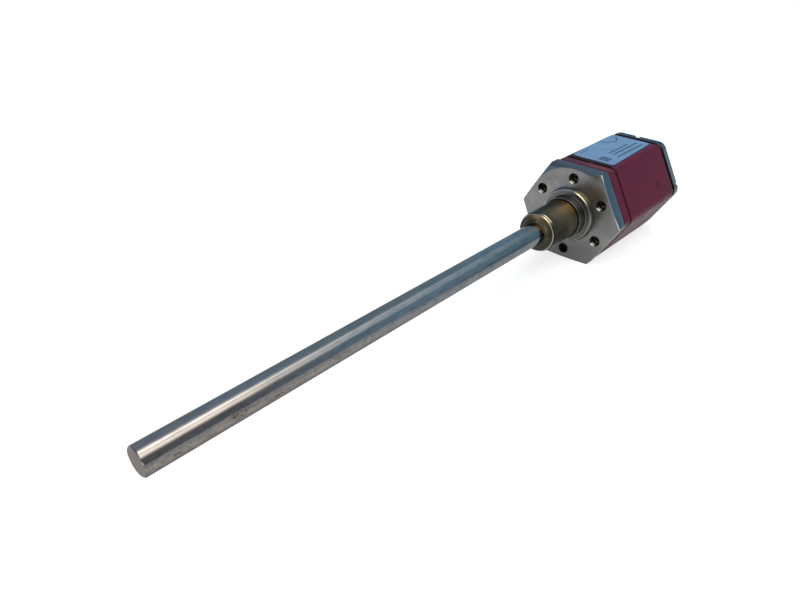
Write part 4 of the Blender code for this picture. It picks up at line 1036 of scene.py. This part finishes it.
WINDOW_ALONG = [(0.0, 0.0), (0.12, 0.05), (0.165, 0.115), (0.20, 0.17), (0.25, 0.24), (0.285, 0.40),
                (0.32, 0.47), (0.37, 1.0), (0.92, 1.0), (1.0, 0.0)]
WINDOW_STRENGTH = 4.2


def make_light():
    """A cool dim room and a bright warm window overhead, given by direction alone."""
    world = bpy.data.worlds.new("room")
    world.use_nodes = True
    bpy.context.scene.world = world
    f = Finish("room", world.node_tree)
    split = f.add("SeparateXYZ")
    f.feed(split.inputs[0], f.add("TexCoord").outputs["Generated"])
    x, y, z = split.outputs
    along = f.span(x, -1.0, 1.0, smooth=False)
    across = f.math("DIVIDE", f.math("ARCTAN2", z, y), math.pi)
    room = f.mix(f.span(y, 0.30, -0.30), f.ramp(along, ROOM_RIGHT), f.ramp(along, ROOM_LEFT))
    glow = f.both(f.ramp(across, WINDOW_ACROSS), f.ramp(along, WINDOW_ALONG), WINDOW_STRENGTH)
    tint = f.mix(f.span(x, -0.65, -0.25), (0.92, 0.97, 1.0), (1.0, 0.97, 0.90))
    window = f.mix(1.0, tint, f.vector(glow, glow, glow), "MULTIPLY")
    f.feed(f.nodes["Background"].inputs["Color"], f.mix(1.0, room, window, "ADD"))


FLOOR_R = 12.0
FLOOR_GLOW = 0.72                   # the table's own light keeps the shadows faint


def make_floor():
    """A pale, round table that glows softly."""
    f = Finish("pale_table")
    place = f.place()[0]
    colour = f.ramp(f.noise(place, 0.01, 2.0), [(0.3, (0.46, 0.46, 0.46)), (0.7, (0.49, 0.49, 0.49))])
    f.finish(Base_Color=colour, Roughness=0.9, Specular_IOR_Level=0.0, Emission_Color=(1.0, 0.995, 0.985),
             Emission_Strength=FLOOR_GLOW)
    bm = bmesh.new()
    bmesh.ops.create_circle(bm, cap_ends=True, radius=FLOOR_R, segments=96)
    mesh = bpy.data.meshes.new("floor")
    bm.to_mesh(mesh)
    bm.free()
    mesh.materials.append(f.material)
    floor = bpy.data.objects.new("floor", mesh)
    bpy.context.scene.collection.objects.link(floor)


def slot_finishes():
    """The finish of each material slot."""
    return {
        "stainless_turned": flange_steel(),
        "stainless_rod": rod_steel(),
        "burgundy_enamel": burgundy_enamel(),
        "cover_grey": cover_metal(),
        "black_rubber": dull("black_rubber", (0.020, 0.018, 0.022), (0.036, 0.032, 0.038), 0.7),
        "screw_steel": satin_metal("screw_steel", (0.035, 0.033, 0.032), (0.07, 0.066, 0.062), 0.28, 0.40),
        "nickel_plate": satin_metal("nickel_plate", (0.46, 0.44, 0.40), (0.56, 0.54, 0.50), 0.20, 0.30),
        "black_plastic": dull("black_plastic", (0.014, 0.014, 0.015), (0.026, 0.026, 0.027), 0.5),
        "pale_plastic": dull("pale_plastic", (0.50, 0.46, 0.38), (0.58, 0.55, 0.47), 0.45),
        "gold_plate": satin_metal("gold_plate", (0.74, 0.50, 0.20), (0.84, 0.62, 0.28), 0.18, 0.28),
        "board_green": board_lacquer(),
        "copper_wire": wound_copper(),
        "ferrite": dull("ferrite", (0.04, 0.04, 0.045), (0.07, 0.07, 0.075), 0.55, 5.0),
        "nickel_iron": satin_metal("nickel_iron", (0.40, 0.38, 0.35), (0.50, 0.48, 0.45), 0.25, 0.32),
    }


def main():
    """Dress the solids, add the fine pieces and set up the camera, light and table."""
    finishes = slot_finishes()
    steel = finishes["stainless_turned"]
    dress_nodes(finishes)

    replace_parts(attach(make_rod(finishes["stainless_rod"]), "root"), "pressure_tube")
    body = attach(make_flange_body(steel), "root")
    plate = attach(make_flange_plate(steel, pocket_steel()), "root")
    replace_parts(body, "flange")
    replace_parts(plate, "flange")
    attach(make_label(label_foil()), "root")
    ink = dull("label_ink", (0.018, 0.040, 0.085), (0.035, 0.066, 0.120), 0.5)
    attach(make_label_print(ink), "root")
    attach(make_groove_tab(finishes["burgundy_enamel"]), "root")
    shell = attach(make_connector_shell(finishes["nickel_plate"]), "root")
    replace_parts(shell, "connector_shell")

    make_camera()
    make_light()
    make_floor()
    bpy.context.scene.view_settings.view_transform = "Standard"


main()
